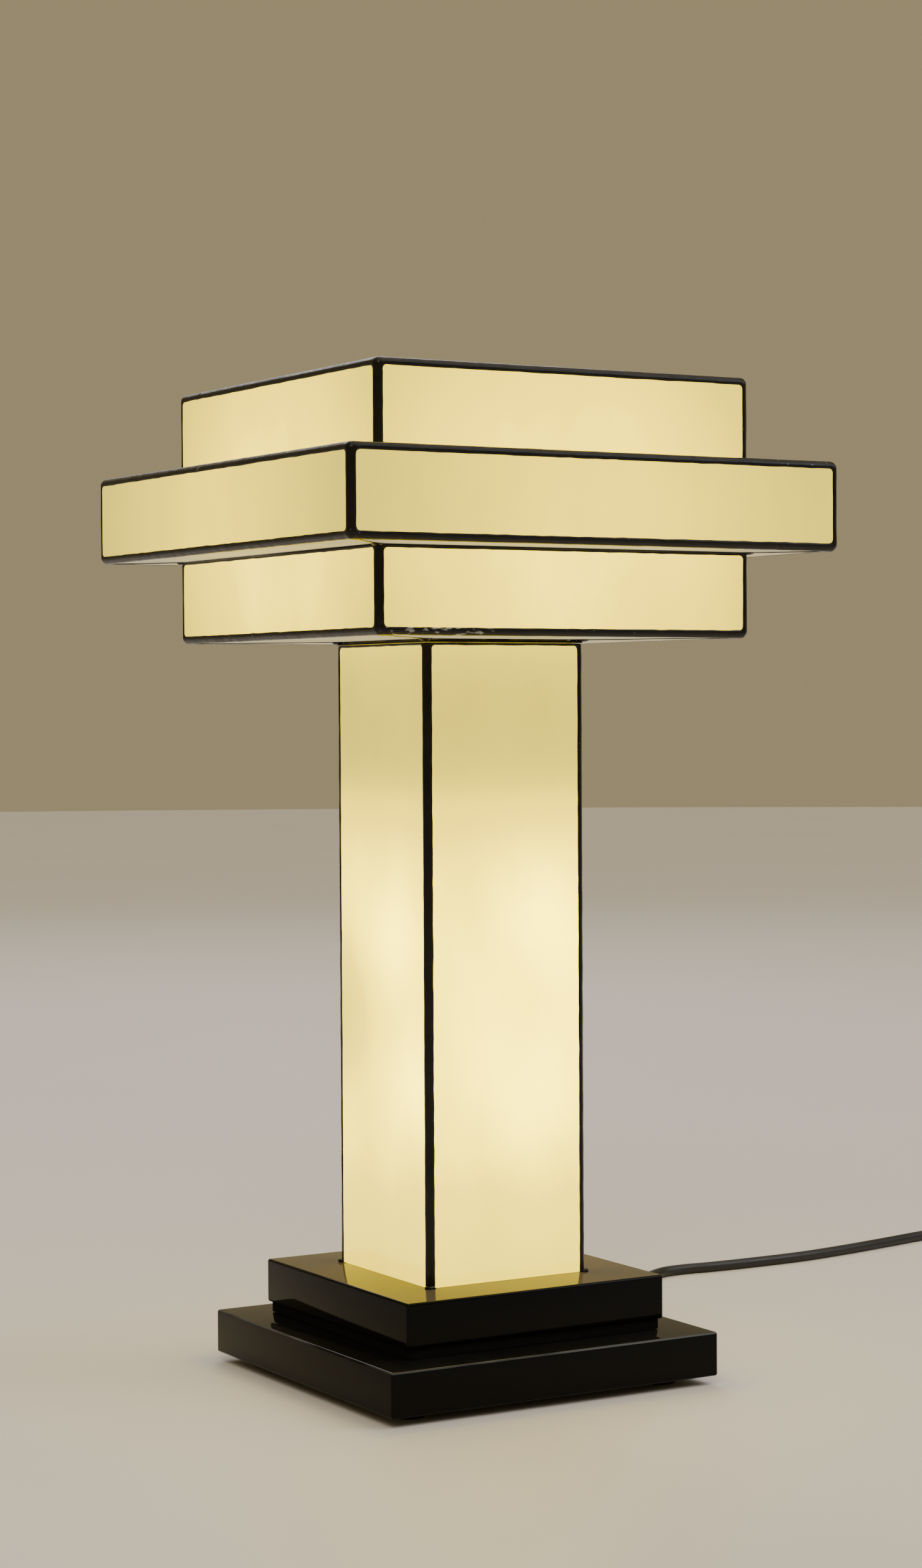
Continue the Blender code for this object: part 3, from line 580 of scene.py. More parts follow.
SHEATH = moulded("extruded_pvc_sheath", "101011", 0.42, 2.5, 0.12)
BAKELITE = moulded("pressed_phenolic", "120F0E", 0.28, 2.0, 0.08)
HARD_BLACK = moulded("spark_grained_nylon", "131314", 0.45, 0.7, 0.3)
ROCKER = moulded("polished_nylon", "17171A", 0.22, 1.5, 0.05)
TIE = moulded("woven_black_tie", "1A1A1A", 0.6, 0.7, 0.6)
BULB_GLASS = frosted_bulb("frosted_soda_glass")


# ---------------------------------------------------------------- glass
def rolled_pane(name, corners, body, material, stands_for, ripple=PANE_RIPPLE):
    """One sheet of glass; corners are its outer face's, counter-clockwise seen from outside. Its face
    has the slow ripple of rolled sheet, which dies away near the solder."""
    a, b, c, d = (Vector(corner) for corner in corners)
    out = (b - a).cross(d - a).normalized()
    across = max(2, round(max((b - a).length, (c - d).length) / PANE_STEP))
    up = max(2, round((d - a).length / PANE_STEP))
    bm = bmesh.new()
    rows = {}
    for face, depth in (("outer", 0.0), ("inner", -GLASS)):
        for j in range(up + 1):
            for i in range(across + 1):
                u, v = i / across, j / up
                place = a.lerp(b, u).lerp(d.lerp(c, u), v)
                calm = min(1.0, 6.0 * min(u, 1 - u)) * min(1.0, 4.0 * min(v, 1 - v))
                wave = noise.noise(place * 28.0 + Vector((0.0, 0.0, 7.0)))
                rows[face, i, j] = bm.verts.new(place + out * (depth + ripple * calm * (wave - 0.2)))
    for j in range(up):
        for i in range(across):
            quad = ((i, j), (i + 1, j), (i + 1, j + 1), (i, j + 1))
            bm.faces.new([rows["outer", *k] for k in quad])
            bm.faces.new([rows["inner", *k] for k in reversed(quad)])
    rim = ([(i, 0) for i in range(across)] + [(across, j) for j in range(up)]
           + [(i, up) for i in range(across, 0, -1)] + [(0, j) for j in range(up, 0, -1)])
    for start, end in zip(rim, rim[1:] + rim[:1]):
        bm.faces.new((rows["outer", *end], rows["outer", *start], rows["inner", *start], rows["inner", *end]))
    piece = from_bmesh(name, bm, material, 50.0)
    return goes(piece, body, "opal_glass", stands_for)


def build_panes():
    """Every sheet: the boxes' and the column's sides, the flat rings between boxes, and the lid."""
    for box_name, body, frame_node, rise, drop in (
            ("column_glass", "stand", "column_frame", 0.0, THIN_SEAM / 2),
            ("lower_tier_glass", "shade", "lower_tier_frame", UNDER_SOLDER, 0.0),
            ("middle_tier_glass", "shade", "middle_tier_frame", UNDER_SOLDER, UNDER_SOLDER),
            ("top_tier_glass", "shade", "top_tier_frame", 0.0, UNDER_SOLDER)):
        low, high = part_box(frame_node)
        bottom, top = low.z + rise, high.z - drop
        face, reach = high.x - BEAD, high.x - UNDER_SOLDER
        for side, turn in SIDES.items():
            corners = [about_z((x, -face, z), turn) for x, z in
                       ((-reach, bottom), (reach, bottom), (reach, top), (-reach, top))]
            material = SHADE_GLASS
            if body == "stand":
                material = WIDE_GLASS if side in ("front", "back") else SIDE_GLASS
            rolled_pane(f"{box_name}_{side}_pane", corners, body, material, f"{box_name}_{side}")

    lower, middle, top = (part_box(f"{tier}_tier_frame") for tier in ("lower", "middle", "top"))
    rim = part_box("opening_rim")[1].x
    rings = (
        ("floor_glass", rim - MM, lower[1].x - UNDER_SOLDER, lower[0].z + BEAD, -1),
        ("lower_step_glass", lower[1].x - SEAM - MM, middle[1].x - UNDER_SOLDER, middle[0].z + BEAD, -1),
        ("upper_step_glass", top[1].x - SEAM - MM, middle[1].x - UNDER_SOLDER, middle[1].z - BEAD, 1),
    )
    for name, inner, outer, height, facing in rings:
        for side, turn in SIDES.items():
            corners = [(-outer, -outer, height), (outer, -outer, height),
                       (inner, -inner, height), (-inner, -inner, height)]
            if facing < 0:
                corners.reverse()
            corners = [about_z(corner, turn) for corner in corners]
            material = RING_GLASS if facing < 0 else SHADE_GLASS
            rolled_pane(f"{name}_{side}_pane", corners, "shade", material, f"{name}_{side}", RING_RIPPLE)
    lid, height = top[1].x - UNDER_SOLDER, top[1].z - BEAD
    corners = ((-lid, -lid, height), (lid, -lid, height), (lid, lid, height), (-lid, lid, height))
    rolled_pane("top_glass_pane", corners, "shade", SHADE_GLASS, "top_glass")


# ---------------------------------------------------------------- solder
def stations(length):
    """Places along a seam: close together near its two ends, where it turns."""
    near = [v * MM for v in (0.0, 0.6, 1.3, 2.1, 3.0, 4.1, 5.4, 7.2) if v * MM < length / 2 - MM]
    middle = length - 2 * near[-1]
    count = max(1, round(middle / (5.0 * MM)))
    between = [near[-1] + middle * i / count for i in range(1, count)]
    return near + between + [length - v for v in reversed(near)]


ACROSS = (0.0, 0.1, 0.22, 0.36, 0.55, 0.78, 0.93, 1.0)   # shares of a seam's width, from the edge in


def dome(q):
    """Height of a seam over the box's plane: flush at the edge, gently domed, then down into the glass."""
    return CROWN * math.sin(math.pi * q) - (BEAD + DIP) * q ** 4


def inset(corners, along, inward, widths, out):
    """A polygon's corners, moved inwards by the width of the seam along each of its sides."""
    moved = []
    for i, corner in enumerate(corners):
        turn = along[i - 1].cross(along[i]).dot(out)
        shift = inward[i] * widths[i] - inward[i - 1] * widths[i - 1]
        reach = shift.dot(inward[i]) / inward[i].dot(along[i - 1]) if abs(turn) > 1e-6 else 0.0
        moved.append(corner + inward[i - 1] * widths[i - 1] + along[i - 1] * reach)
    return moved


def seam_ring(bm, weight, corners, widths, out, shape):
    """The solder round one flat pane. corners are the pane's outer polygon seen from outside, widths
    the seam's width along each of its sides, and shape rounds a point on the box over the box's edges."""
    count = len(corners)
    sides = [(corners[(i + 1) % count] - corners[i]) for i in range(count)]
    along = [side.normalized() for side in sides]
    inward = [out.cross(direction) for direction in along]
    inner = inset(corners, along, inward, widths, out)
    for i in range(count):
        nxt = (i + 1) % count
        length = sides[i].length
        ends = []
        for corner, sign in ((i, 1), (nxt, -1)):
            round_by = FILLET if min(widths[corner], widths[corner - 1]) > 0 else 0.0
            first, second = -along[corner - 1], along[corner]
            half_angle = first.angle(second) / 2
            tangent = round_by / math.tan(half_angle)
            centre = inner[corner] + (first + second).normalized() * (round_by / math.sin(half_angle))
            at = (inner[corner] - corners[corner]).dot(along[i]) * sign
            ends.append((at + tangent, centre, round_by, inner[corner]))
        rows = []
        for s in stations(length):
            outer = corners[i] + along[i] * s
            target = outer + inward[i] * widths[i]
            for (zone, centre, round_by, sharp), travel in zip(ends, (s, length - s)):
                if travel < zone - 1e-9:
                    if round_by:
                        share = travel / zone
                        middle, end = (sharp - centre).normalized(), -inward[i]
                        span = middle.angle(end)
                        direction = middle * math.sin((1 - share) * span) + end * math.sin(share * span)
                        target = centre + direction * (round_by / math.sin(span))
                    else:
                        target = sharp
            reach = (target - outer).length
            if reach > 1e-7:
                wander = WANDER * noise.noise(target * 160.0) + SPILL
                target = target + (target - outer).normalized() * min(wander, reach)
            row = []
            for q in ACROSS:
                flat = outer.lerp(target, q)
                height = dome(q) if reach > 1e-7 else 0.0
                vert = bm.verts.new(shape(flat) + out * height)
                vert[weight] = 1.0 - q ** 3
                row.append(vert)
            rows.append(row)
        for row, following in zip(rows, rows[1:]):
            for j in range(len(ACROSS) - 1):
                bm.faces.new((row[j], following[j], following[j + 1], row[j + 1]))


def solder_box(name, body, low, high, rings, stands_for, blobs=(), inner_corners=(), joints=()):
    """All the solder of one glass box as one skin. rings are (corners, widths, outward), inner_corners the
    heights where the box meets another piece and its edge stays square, and joints the (half width,
    height) of the beads that close the gap to the next box."""
    def shape(point):
        """Moves a point on the plain box to the box with rounded edges and ball corners."""
        core = point.copy()
        for k in range(3):
            for limit, sign in ((high[k], -1.0), (low[k], 1.0)):
                square = k == 2 and limit in inner_corners
                edge = limit if square else limit + sign * EDGE_ROUND
                if sign * (core[k] - edge) < 0:
                    core[k] = edge
        return core + (point - core).normalized() * EDGE_ROUND

    bm = bmesh.new()
    weight = bm.verts.layers.float.new("crown")
    for corners, widths, out in rings:
        seam_ring(bm, weight, [Vector(c) for c in corners], widths, Vector(out), shape)
    bmesh.ops.remove_doubles(bm, verts=bm.verts, dist=0.012 * MM)
    bmesh.ops.dissolve_degenerate(bm, edges=bm.edges, dist=0.004 * MM)
    bm.normal_update()
    for vert in bm.verts:
        swell = sum(height * noise.noise(vert.co * rate) for rate, height in HAND_WAVES)
        vert.co += vert.normal * (swell * vert[weight])
    piece = from_bmesh(name, bm, SOLDER, 60.0)
    wall = piece.modifiers.new("wall", "SOLIDIFY")
    wall.thickness = SOLDER_DEPTH
    wall.offset = -1.0
    wall.use_even_offset = False
    plain(piece)
    if blobs:
        add_lumps(piece, blobs, joints)
    return goes(piece, body, "black_solder", stands_for)


def add_lumps(piece, blobs, joints):
    """Adds round beads along a box's joints, and lumps of solder, which are (place, half sizes)."""
    bm = bmesh.new()
    bm.from_mesh(piece.data)
    for half, height in joints:
        for turn in SIDES.values():
            bead = bmesh.ops.create_cone(bm, cap_ends=True, segments=12, radius1=JOINT_BEAD,
                                         radius2=JOINT_BEAD, depth=2 * half)["verts"]
            around = Matrix.Rotation(math.radians(turn), 4, "Z")
            lay = around @ Matrix.Translation((0, -half, height)) @ Matrix.Rotation(math.pi / 2, 4, "Y")
            bmesh.ops.transform(bm, matrix=lay, verts=bead)
    for i, (place, size) in enumerate(blobs):
        lump = bmesh.ops.create_icosphere(bm, subdivisions=3, radius=1.0)["verts"]
        for vert in lump:
            swell = 1.0 + 0.16 * noise.noise(vert.co * 1.7 + Vector((i * 3.1, 0.0, 0.0)))
            vert.co = Vector([c * s * swell for c, s in zip(vert.co, size)]) + Vector(place)
    bm.to_mesh(piece.data)
    bm.free()
    for face in piece.data.polygons:
        face.use_smooth = True


def side_rings(half, low, high, bottom_width, top_width):
    """The four upright panes of a box, as rings for its solder."""
    rings = []
    for turn in SIDES.values():
        corners = [about_z((x, -half, z), turn) for x, z in
                   ((-half, low), (half, low), (half, high), (-half, high))]
        rings.append((corners, (bottom_width, SEAM, top_width, SEAM), about_z((0, -1, 0), turn)))
    return rings


def flat_rings(inner, outer, height, facing):
    """The four mitred strips of a flat ring; facing is 1 for up and -1 for down."""
    rings = []
    for turn in SIDES.values():
        corners = [(-outer, -outer, height), (outer, -outer, height), (inner, -inner, height),
                   (-inner, -inner, height)]
        widths = [SEAM, MITRE_SEAM / 2, 0.0, MITRE_SEAM / 2]
        if facing < 0:
            corners.reverse()
            widths = [widths[k] for k in (2, 1, 0, 3)]
        rings.append(([about_z(c, turn) for c in corners], widths, (0, 0, facing)))
    return rings


def corner_blobs(half, height, size):
    """A lump of solder at each corner of a square."""
    return [((x * half, y * half, height), size) for x in (-1, 1) for y in (-1, 1)]


def build_solder():
    """The column's seams and those of the three boxes, from the sizes of the CAD frames."""
    boxes = {name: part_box(name) for name in
             ("column_frame", "lower_tier_frame", "middle_tier_frame", "top_tier_frame", "opening_rim")}
    column, lower, middle, top, rim = boxes.values()
    solder_box("column_solder", "stand", *column,
               side_rings(column[1].x, column[0].z, column[1].z, 0.0, THIN_SEAM), "column_frame",
               corner_blobs(column[1].x - 0.9 * MM, column[0].z + 0.3 * MM, (2.3 * MM, 2.3 * MM, 1.1 * MM)),
               (column[0].z, column[1].z))
    rings = side_rings(lower[1].x, lower[0].z, lower[1].z, SEAM, THIN_SEAM)
    rings += flat_rings(rim[1].x, lower[1].x, lower[0].z, -1)
    solder_box("lower_tier_solder", "shade", *lower, rings, "lower_tier_frame",
               corner_blobs(column[1].x - 0.4 * MM, lower[0].z + 0.6 * MM, (3.4 * MM, 3.4 * MM, 1.7 * MM)),
               (lower[1].z,))
    rings = side_rings(middle[1].x, middle[0].z, middle[1].z, SEAM, SEAM)
    rings += flat_rings(lower[1].x - SEAM, middle[1].x, middle[0].z, -1)
    rings += flat_rings(top[1].x - SEAM, middle[1].x, middle[1].z, 1)
    solder_box("middle_tier_solder", "shade", *middle, rings, "middle_tier_frame",
               corner_blobs(lower[1].x - 0.4 * MM, middle[0].z + 0.6 * MM, (3.0 * MM, 3.0 * MM, 1.6 * MM)),
               joints=((lower[1].x, lower[1].z + 0.1 * MM), (top[1].x, top[0].z + 0.1 * MM)))
    rings = side_rings(top[1].x, top[0].z, top[1].z, THIN_SEAM, SEAM)
    half, height = top[1].x, top[1].z
    lid = ((-half, -half, height), (half, -half, height), (half, half, height), (-half, half, height))
    rings.append((lid, (SEAM,) * 4, (0, 0, 1)))
    solder_box("top_tier_solder", "shade", *top, rings, "top_tier_frame", inner_corners=(top[0].z,))


build_panes()
build_solder()


# ---------------------------------------------------------------- turned and lofted pieces
def lathe(name, profile, centre, material, axis="Z", steps=40, sharp=35.0):
    """A turned piece: profile is (radius, along) in mm from one end of the axis to the other."""
    bm = bmesh.new()
    angles = [2 * math.pi * k / steps for k in range(steps)]
    rings = []
    for radius, along in profile:
        around = angles if radius > 0 else [0.0]
        rings.append([bm.verts.new(Vector((radius * math.cos(a), radius * math.sin(a), along)) * MM)
                      for a in around])
    skin(bm, rings)
    bmesh.ops.recalc_face_normals(bm, faces=bm.faces)
    return turned_to(from_bmesh(name, bm, material, sharp), centre, axis)


def smooth_curve(points, between):
    """Points on one smooth curve from the second given point to the last but one, through all of them."""
    fine = []
    for before, start, end, after in zip(points, points[1:], points[2:], points[3:]):
        for t in (i / between for i in range(between)):
            fine.append(0.5 * (2 * start + (end - before) * t
                               + (2 * before - 5 * start + 4 * end - after) * t ** 2
                               + (3 * start - before - 3 * end + after) * t ** 3))
    return fine + [points[-2]]


def loft(name, sections, centre, material, sharp=40.0, seam=0.0, steps=14):
    """A moulded shell along X. Each section is (x, half width, half height, squareness) in mm; seam is
    the depth of the groove at half height, where its two halves meet."""
    bm = bmesh.new()
    rings = []
    given = [Vector(section) for section in sections]
    for x, wide, high, square in smooth_curve([given[0]] + given + [given[-1]], 3):
        lip = math.asin(min(1.0, SEAM_LIP / high) ** (square / 2))
        quarter = [0.0, min(lip, math.radians(45 / steps))]
        quarter += [math.radians(90 * k / steps) for k in range(1, steps)]
        outline = quarter + [math.pi / 2] + [math.pi - a for a in reversed(quarter)]
        outline += [math.pi + a for a in quarter[1:]] + [1.5 * math.pi]
        outline += [2 * math.pi - a for a in reversed(quarter[1:])]
        ring = []
        for angle in outline:
            c, s = math.cos(angle), math.sin(angle)
            reach = wide - (seam if abs(s) < 1e-6 else 0.0)
            y = reach * math.copysign(abs(c) ** (2 / square), c)
            z = high * math.copysign(abs(s) ** (2 / square), s)
            ring.append(bm.verts.new(Vector((x, y, z)) * MM))
        rings.append(ring)
    hubs = [[bm.verts.new((section[0] * MM, 0.0, 0.0))] for section in (sections[0], sections[-1])]
    skin(bm, [hubs[0]] + rings + [hubs[1]])
    bmesh.ops.recalc_face_normals(bm, faces=bm.faces)
    return turned_to(from_bmesh(name, bm, material, sharp), centre)


def box_mesh(name, low, high, flare=0.0, scale=1.0):
    """A block, wider at its top by flare on each side, with its sizes times scale."""
    bm = bmesh.new()
    bmesh.ops.create_cube(bm, size=1.0)
    for vert in bm.verts:
        top = vert.co.z > 0
        for k in range(3):
            edge = high[k] if vert.co[k] > 0 else low[k]
            spare = flare * (1 if vert.co[k] > 0 else -1) if top and k < 2 else 0.0
            vert.co[k] = edge + spare
    return mesh_of(name, bm, scale)


def rounded_bar(name, half, around, down):
    """A small bar with blunt ends, as a seed mesh; half is its three half sizes in mm."""
    bm = bmesh.new()
    bmesh.ops.create_uvsphere(bm, u_segments=around, v_segments=down, radius=1.0)
    for vert in bm.verts:
        x, y, z = vert.co
        vert.co = (half[0] * x, half[1] * math.copysign(abs(y) ** 0.5, y), half[2] * z)
    return mesh_of(name, bm, MM)


def cut(piece, *cutters):
    """Takes each cutter's shape out of a piece."""
    for cutter in cutters:
        step = piece.modifiers.new(cutter.name, "BOOLEAN")
        step.operation = "DIFFERENCE"
        step.solver = "EXACT"
        step.object = cutter
    plain(piece)
    for cutter in cutters:
        bpy.data.objects.remove(cutter)
    smoothed(piece.data, 35.0)
    return piece


def tube(name, path, radius, material, sides=14):
    """A round cord along a path of points, with flat ends."""
    bm = bmesh.new()
    up = Vector((0.0, 0.0, 1.0))
    rings = []
    last = len(path) - 1
    for i, point in enumerate(path):
        ahead = (path[min(i + 1, last)] - path[max(i - 1, 0)]).normalized()
        side = ahead.cross(up).normalized()
        up = side.cross(ahead).normalized()
        ring = []
        for k in range(sides):
            angle = 2 * math.pi * k / sides
            ring.append(bm.verts.new(point + (side * math.cos(angle) + up * math.sin(angle)) * radius))
        rings.append(ring)
    skin(bm, rings)
    bm.faces.new(list(reversed(rings[0])))
    bm.faces.new(rings[-1])
    bmesh.ops.recalc_face_normals(bm, faces=bm.faces)
    return from_bmesh(name, bm, material, 50.0)


def smooth_path(route, step):
    """Points a step apart along a smooth curve through the route's points."""
    fine = smooth_curve([2 * route[0] - route[1]] + route + [2 * route[-1] - route[-2]], 12)
    lengths = [0.0]
    for start, end in zip(fine, fine[1:]):
        lengths.append(lengths[-1] + (end - start).length)
    count = round(lengths[-1] / step)
    path, i = [], 0
    for k in range(count + 1):
        along = lengths[-1] * k / count
        while i < len(fine) - 2 and lengths[i + 1] < along:
            i += 1
        share = (along - lengths[i]) / max(lengths[i + 1] - lengths[i], 1e-9)
        path.append(fine[i].lerp(fine[i + 1], share))
    return path


def coil_points():
    """The coil: three turns inwards on the table, then two and a half outwards on top of them."""
    outer, middle, inner = COIL_LANES

    def eased(travel, start, end):
        t = min(1.0, max(0.0, (travel - start) / (end - start)))
        return t * t * (3 - 2 * t)

    points = []
    for travel in range(0, COIL_TRAVEL + 1, 15):
        radius = outer + sum(step * eased(travel, start, start + LANE_EASE) for start, step in
                             ((240, middle - outer), (600, inner - middle), (1180, middle - inner),
                              (1540, outer - middle)))
        height = 3.0 + 6.0 * eased(travel, 930, 1050)
        angle = math.radians(90 - travel)
        points.append(COIL_CENTRE + Vector((radius * math.cos(angle), radius * math.sin(angle), height)) * MM)
    return points


def build_cord():
    """The whole cord, from inside the base to inside the plug, as one tube; gives it and its path."""
    route = [Vector(p) * MM for p in CORD_ROUTE] + coil_points()
    route += [PLUG_BACK + Vector(p) * MM for p in INTO_PLUG]
    path = smooth_path(route, 4.0 * MM)
    for point in path:
        point.z = max(point.z, CORD_RADIUS)
    cord = tube("power_cord", path, CORD_RADIUS, SHEATH)
    goes(cord, "stand", "cord_pvc", "cord", "cord_coil")
    return cord, path


def build_gland():
    """The rubber cord grip in the slab's back: a flange, and a ribbed sleeve that tapers to the cord."""
    x, _, z = CORD_EXIT
    centre = (x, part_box("cord_gland")[1].y - GLAND_SLEEVE * MM, z)
    profile = ((0, -11.5), (4.8, -11.5), (4.9, 0), (7.6, 0), (8.0, 0.5), (8.0, 2.3), (7.5, 3.0), (6.2, 3.3),
               (5.9, 4.5), (3.9, GLAND_SLEEVE - 0.8), (3.5, GLAND_SLEEVE), (0, GLAND_SLEEVE))
    sleeve = lathe("cord_gland_sleeve", profile, centre, SOFT_BLACK, "Y")
    sizes = {"Ribs": 8, "Pitch": 2.9 * MM, "Radius": 5.35 * MM, "Rib": 0.62 * MM, "Taper": 0.038}
    ribs = grown("gland_ribs", SOFT_BLACK, sizes, sleeve_ribs)
    turned_to(ribs, (x, centre[1] + 6.2 * MM, z), "Y")
    goes(joined(sleeve, ribs), "stand", "gland_rubber", "cord_gland")


def build_plug():
    """A flat two-pin plug: a waisted body moulded on the cord, sleeved pins, and a ribbed relief."""
    sections = ((-36.0, 17.0, 6.3, 5.0), (-35.4, 17.4, 6.7, 5.0), (-34.0, 17.5, 6.85, 5.0),
                (-28.0, 17.3, 6.85, 5.0), (-22.0, 15.9, 6.75, 4.2), (-16.0, 14.0, 6.5, 3.6),
                (-10.0, 12.2, 6.3, 3.2), (-5.0, 10.8, 6.1, 2.8), (-1.6, 9.3, 5.8, 2.5), (-0.4, 8.2, 5.3, 2.4),
                (0.0, 7.2, 4.8, 2.3))
    body = loft("plug_body", sections, PLUG_BACK, HARD_BLACK, seam=0.3)
    profile = ((0, -2), (5.6, -2), (5.6, 1.2), (5.2, 2.2), (3.7, 21.2), (3.3, 22.0), (0, 22.0))
    relief = lathe("plug_relief", profile, PLUG_BACK, HARD_BLACK, "X")
    sizes = {"Ribs": 6, "Pitch": 2.9 * MM, "Radius": 4.9 * MM, "Rib": 0.6 * MM, "Taper": 0.05}
    ribs = grown("relief_ribs", HARD_BLACK, sizes, sleeve_ribs)
    turned_to(ribs, PLUG_BACK + Vector((3.8, 0, 0)) * MM, "X")
    bars = grown("plug_grip_bars", HARD_BLACK, {"Length": 10.0 * MM, "Width": 0.0, "Along": 5, "Across": 1},
                 on_grid, rounded_bar("grip_bar", (0.6, 7.0, 0.45), 20, 10))
    turned_to(bars, PLUG_BACK + Vector((-13.0, 0.0, 6.38)) * MM)
    sleeve = ((0, -1), (2.2, -1), (2.2, 0.2), (1.9, 0.5), (1.9, 9.8), (1.75, 10.0), (0, 10.0))
    pin = ((0, 9.0), (1.7, 9.0), (1.7, 10.0), (2.0, 10.2), (2.0, 17.2), (1.75, 18.2), (1.1, 18.8), (0, 19.0))
    sleeves, pins = [], []
    for side in (-1, 1):
        root = PLUG_BACK + Vector((-PLUG_LENGTH, side * PIN_SPACING, 0)) * MM
        sleeves.append(lathe("pin_sleeve", sleeve, root, HARD_BLACK, "-X", 28))
        pins.append(lathe("pin", pin, root, NICKEL, "-X", 28))
    goes(joined(body, relief, ribs, bars, *sleeves), "stand", "moulded_black", "plug")
    metal = joined(*pins)
    metal.name = "plug_pins"
    return [body, goes(metal, "stand", "zinc_steel")]


def build_switch():
    """The inline switch: two moulded halves screwed together round the cord, and a dished rocker."""
    low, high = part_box("switch_body")
    centre = (low + high) / 2
    half, wide, tall = (high - low) / 2 / MM
    sections = []
    for step, w, h, square in ((1.0, 0.36, 0.52, 2.2), (0.985, 0.42, 0.60, 2.2), (0.90, 0.50, 0.68, 2.3),
                               (0.82, 0.66, 0.78, 2.6), (0.74, 0.84, 0.89, 3.2), (0.64, 0.95, 0.97, 4.2),
                               (0.5, 0.99, 1.0, 5.0), (0.2, 1.0, 1.0, 5.0)):
        sections.append((step * half, w * wide, h * tall, square))
    sections = [(-x, w, h, n) for x, w, h, n in sections] + list(reversed(sections))
    body = loft("switch_shell", sections, centre, HARD_BLACK, seam=0.35)
    px, py = ROCKER_LENGTH / 2 + POCKET_PLAY, ROCKER_WIDTH / 2 + POCKET_PLAY
    floor = (POCKET_FLOOR - centre.z) / MM
    well = box_mesh("rocker_pocket", (-px, -py, floor), (px, py, tall - 0.5), scale=MM)
    brim = box_mesh("pocket_brim", (-px, -py, tall - 0.8), (px, py, tall + 2.0), 2.0, MM)
    cutters = [turned_to(stage_object(mesh.name, mesh), centre) for mesh in (well, brim)]
    cut(body, *cutters)
    screws = grown("switch_screws", NICKEL, {"Length": 44.0 * MM, "Width": 0.0, "Along": 2, "Across": 1},
                   on_grid, screw_head("switch_screw_head", 2.4))
    turned_to(screws, (centre.x, centre.y, high.z - 0.55 * MM))
    goes(body, "stand", "moulded_black", "switch_body")
    goes(screws, "stand", "zinc_steel")
    return [body, screws, build_rocker(Vector((centre.x, centre.y, ROCKER_PIVOT)))]


def build_rocker(pivot):
    """The rocker: a bar that is dished along its length, with rounded ends and three ridges at each."""
    bm = bmesh.new()
    rings = []
    half = ROCKER_LENGTH / 2
    for x in (-11.0, -10.85, -10.4, -9.5, -7.5, -5.0, -2.5, 0.0, 2.5, 5.0, 7.5, 9.5, 10.4, 10.85, 11.0):
        drop = {11.0: 0.75, 10.85: 0.35, 10.4: 0.1}.get(abs(x), 0.0)
        top = 2.0 + 0.95 * (abs(x) / half) ** 2 - drop
        side = ROCKER_WIDTH / 2 - 0.5 * drop
        outline = ((-side + 0.4, -2.0), (-side, -1.6), (-side, top - 0.8), (-side + 0.2, top - 0.25),
                   (-side + 0.75, top), (-2.0, top - 0.1), (2.0, top - 0.1), (side - 0.75, top),
                   (side - 0.2, top - 0.25), (side, top - 0.8), (side, -1.6), (side - 0.4, -2.0))
        rings.append([bm.verts.new(Vector((x, y, z)) * MM) for y, z in outline])
    skin(bm, rings)
    bm.faces.new(rings[0])
    bm.faces.new(rings[-1])
    bmesh.ops.recalc_face_normals(bm, faces=bm.faces)
    rocker = from_bmesh("dished_rocker", bm, ROCKER, 50.0)
    seed = rounded_bar("rocker_ridge", (0.32, 4.2, 0.3), 12, 8)
    for end in (-1, 1):
        ridges = grown("rocker_ridges", ROCKER, {"Length": 2.4 * MM, "Width": 0.0, "Along": 3, "Across": 1},
                       on_grid, seed.copy())
        turned_to(ridges, Vector((end * 7.8, 0.0, 2.42)) * MM)
        joined(rocker, ridges)
    rocker.data.transform(Matrix.Translation(pivot) @ Matrix.Rotation(-ROCKER_TILT, 4, "Y"))
    return goes(rocker, "rocker", "rocker_plastic", "switch_rocker")


def screw_head(name, radius):
    """A pan head with a cross recess: the recess is pressed into a fine disc."""
    bm = bmesh.new()
    rings, around = 14, 64
    turns = [(math.cos(2 * math.pi * k / around), math.sin(2 * math.pi * k / around)) for k in range(around)]
    circles = [[bm.verts.new((0.0, 0.0, 0.0))]]
    for reach in (radius * j / rings for j in range(1, rings + 1)):
        circles.append([bm.verts.new((reach * c, reach * s, 0.0)) for c, s in turns])
    arm, width = 0.6 * radius, 0.16 * radius
    for vert in bm.verts:
        x, y = abs(vert.co.x), abs(vert.co.y)
        far = math.hypot(x, y) / radius
        height = 0.5 * radius * math.sqrt(max(0.0, 1 - (0.92 * far) ** 2)) - 0.2 * radius
        if min(x, y) < width and max(x, y) < arm:
            height -= 0.3 * radius * (1 - 0.5 * max(x, y) / arm)
        vert.co.z = height
    base = [bm.verts.new((radius * c, radius * s, -0.5 * radius)) for c, s in turns]
    skin(bm, circles + [base])
    bm.faces.new(base)
    bmesh.ops.recalc_face_normals(bm, faces=bm.faces)
    return mesh_of(name, bm, MM)


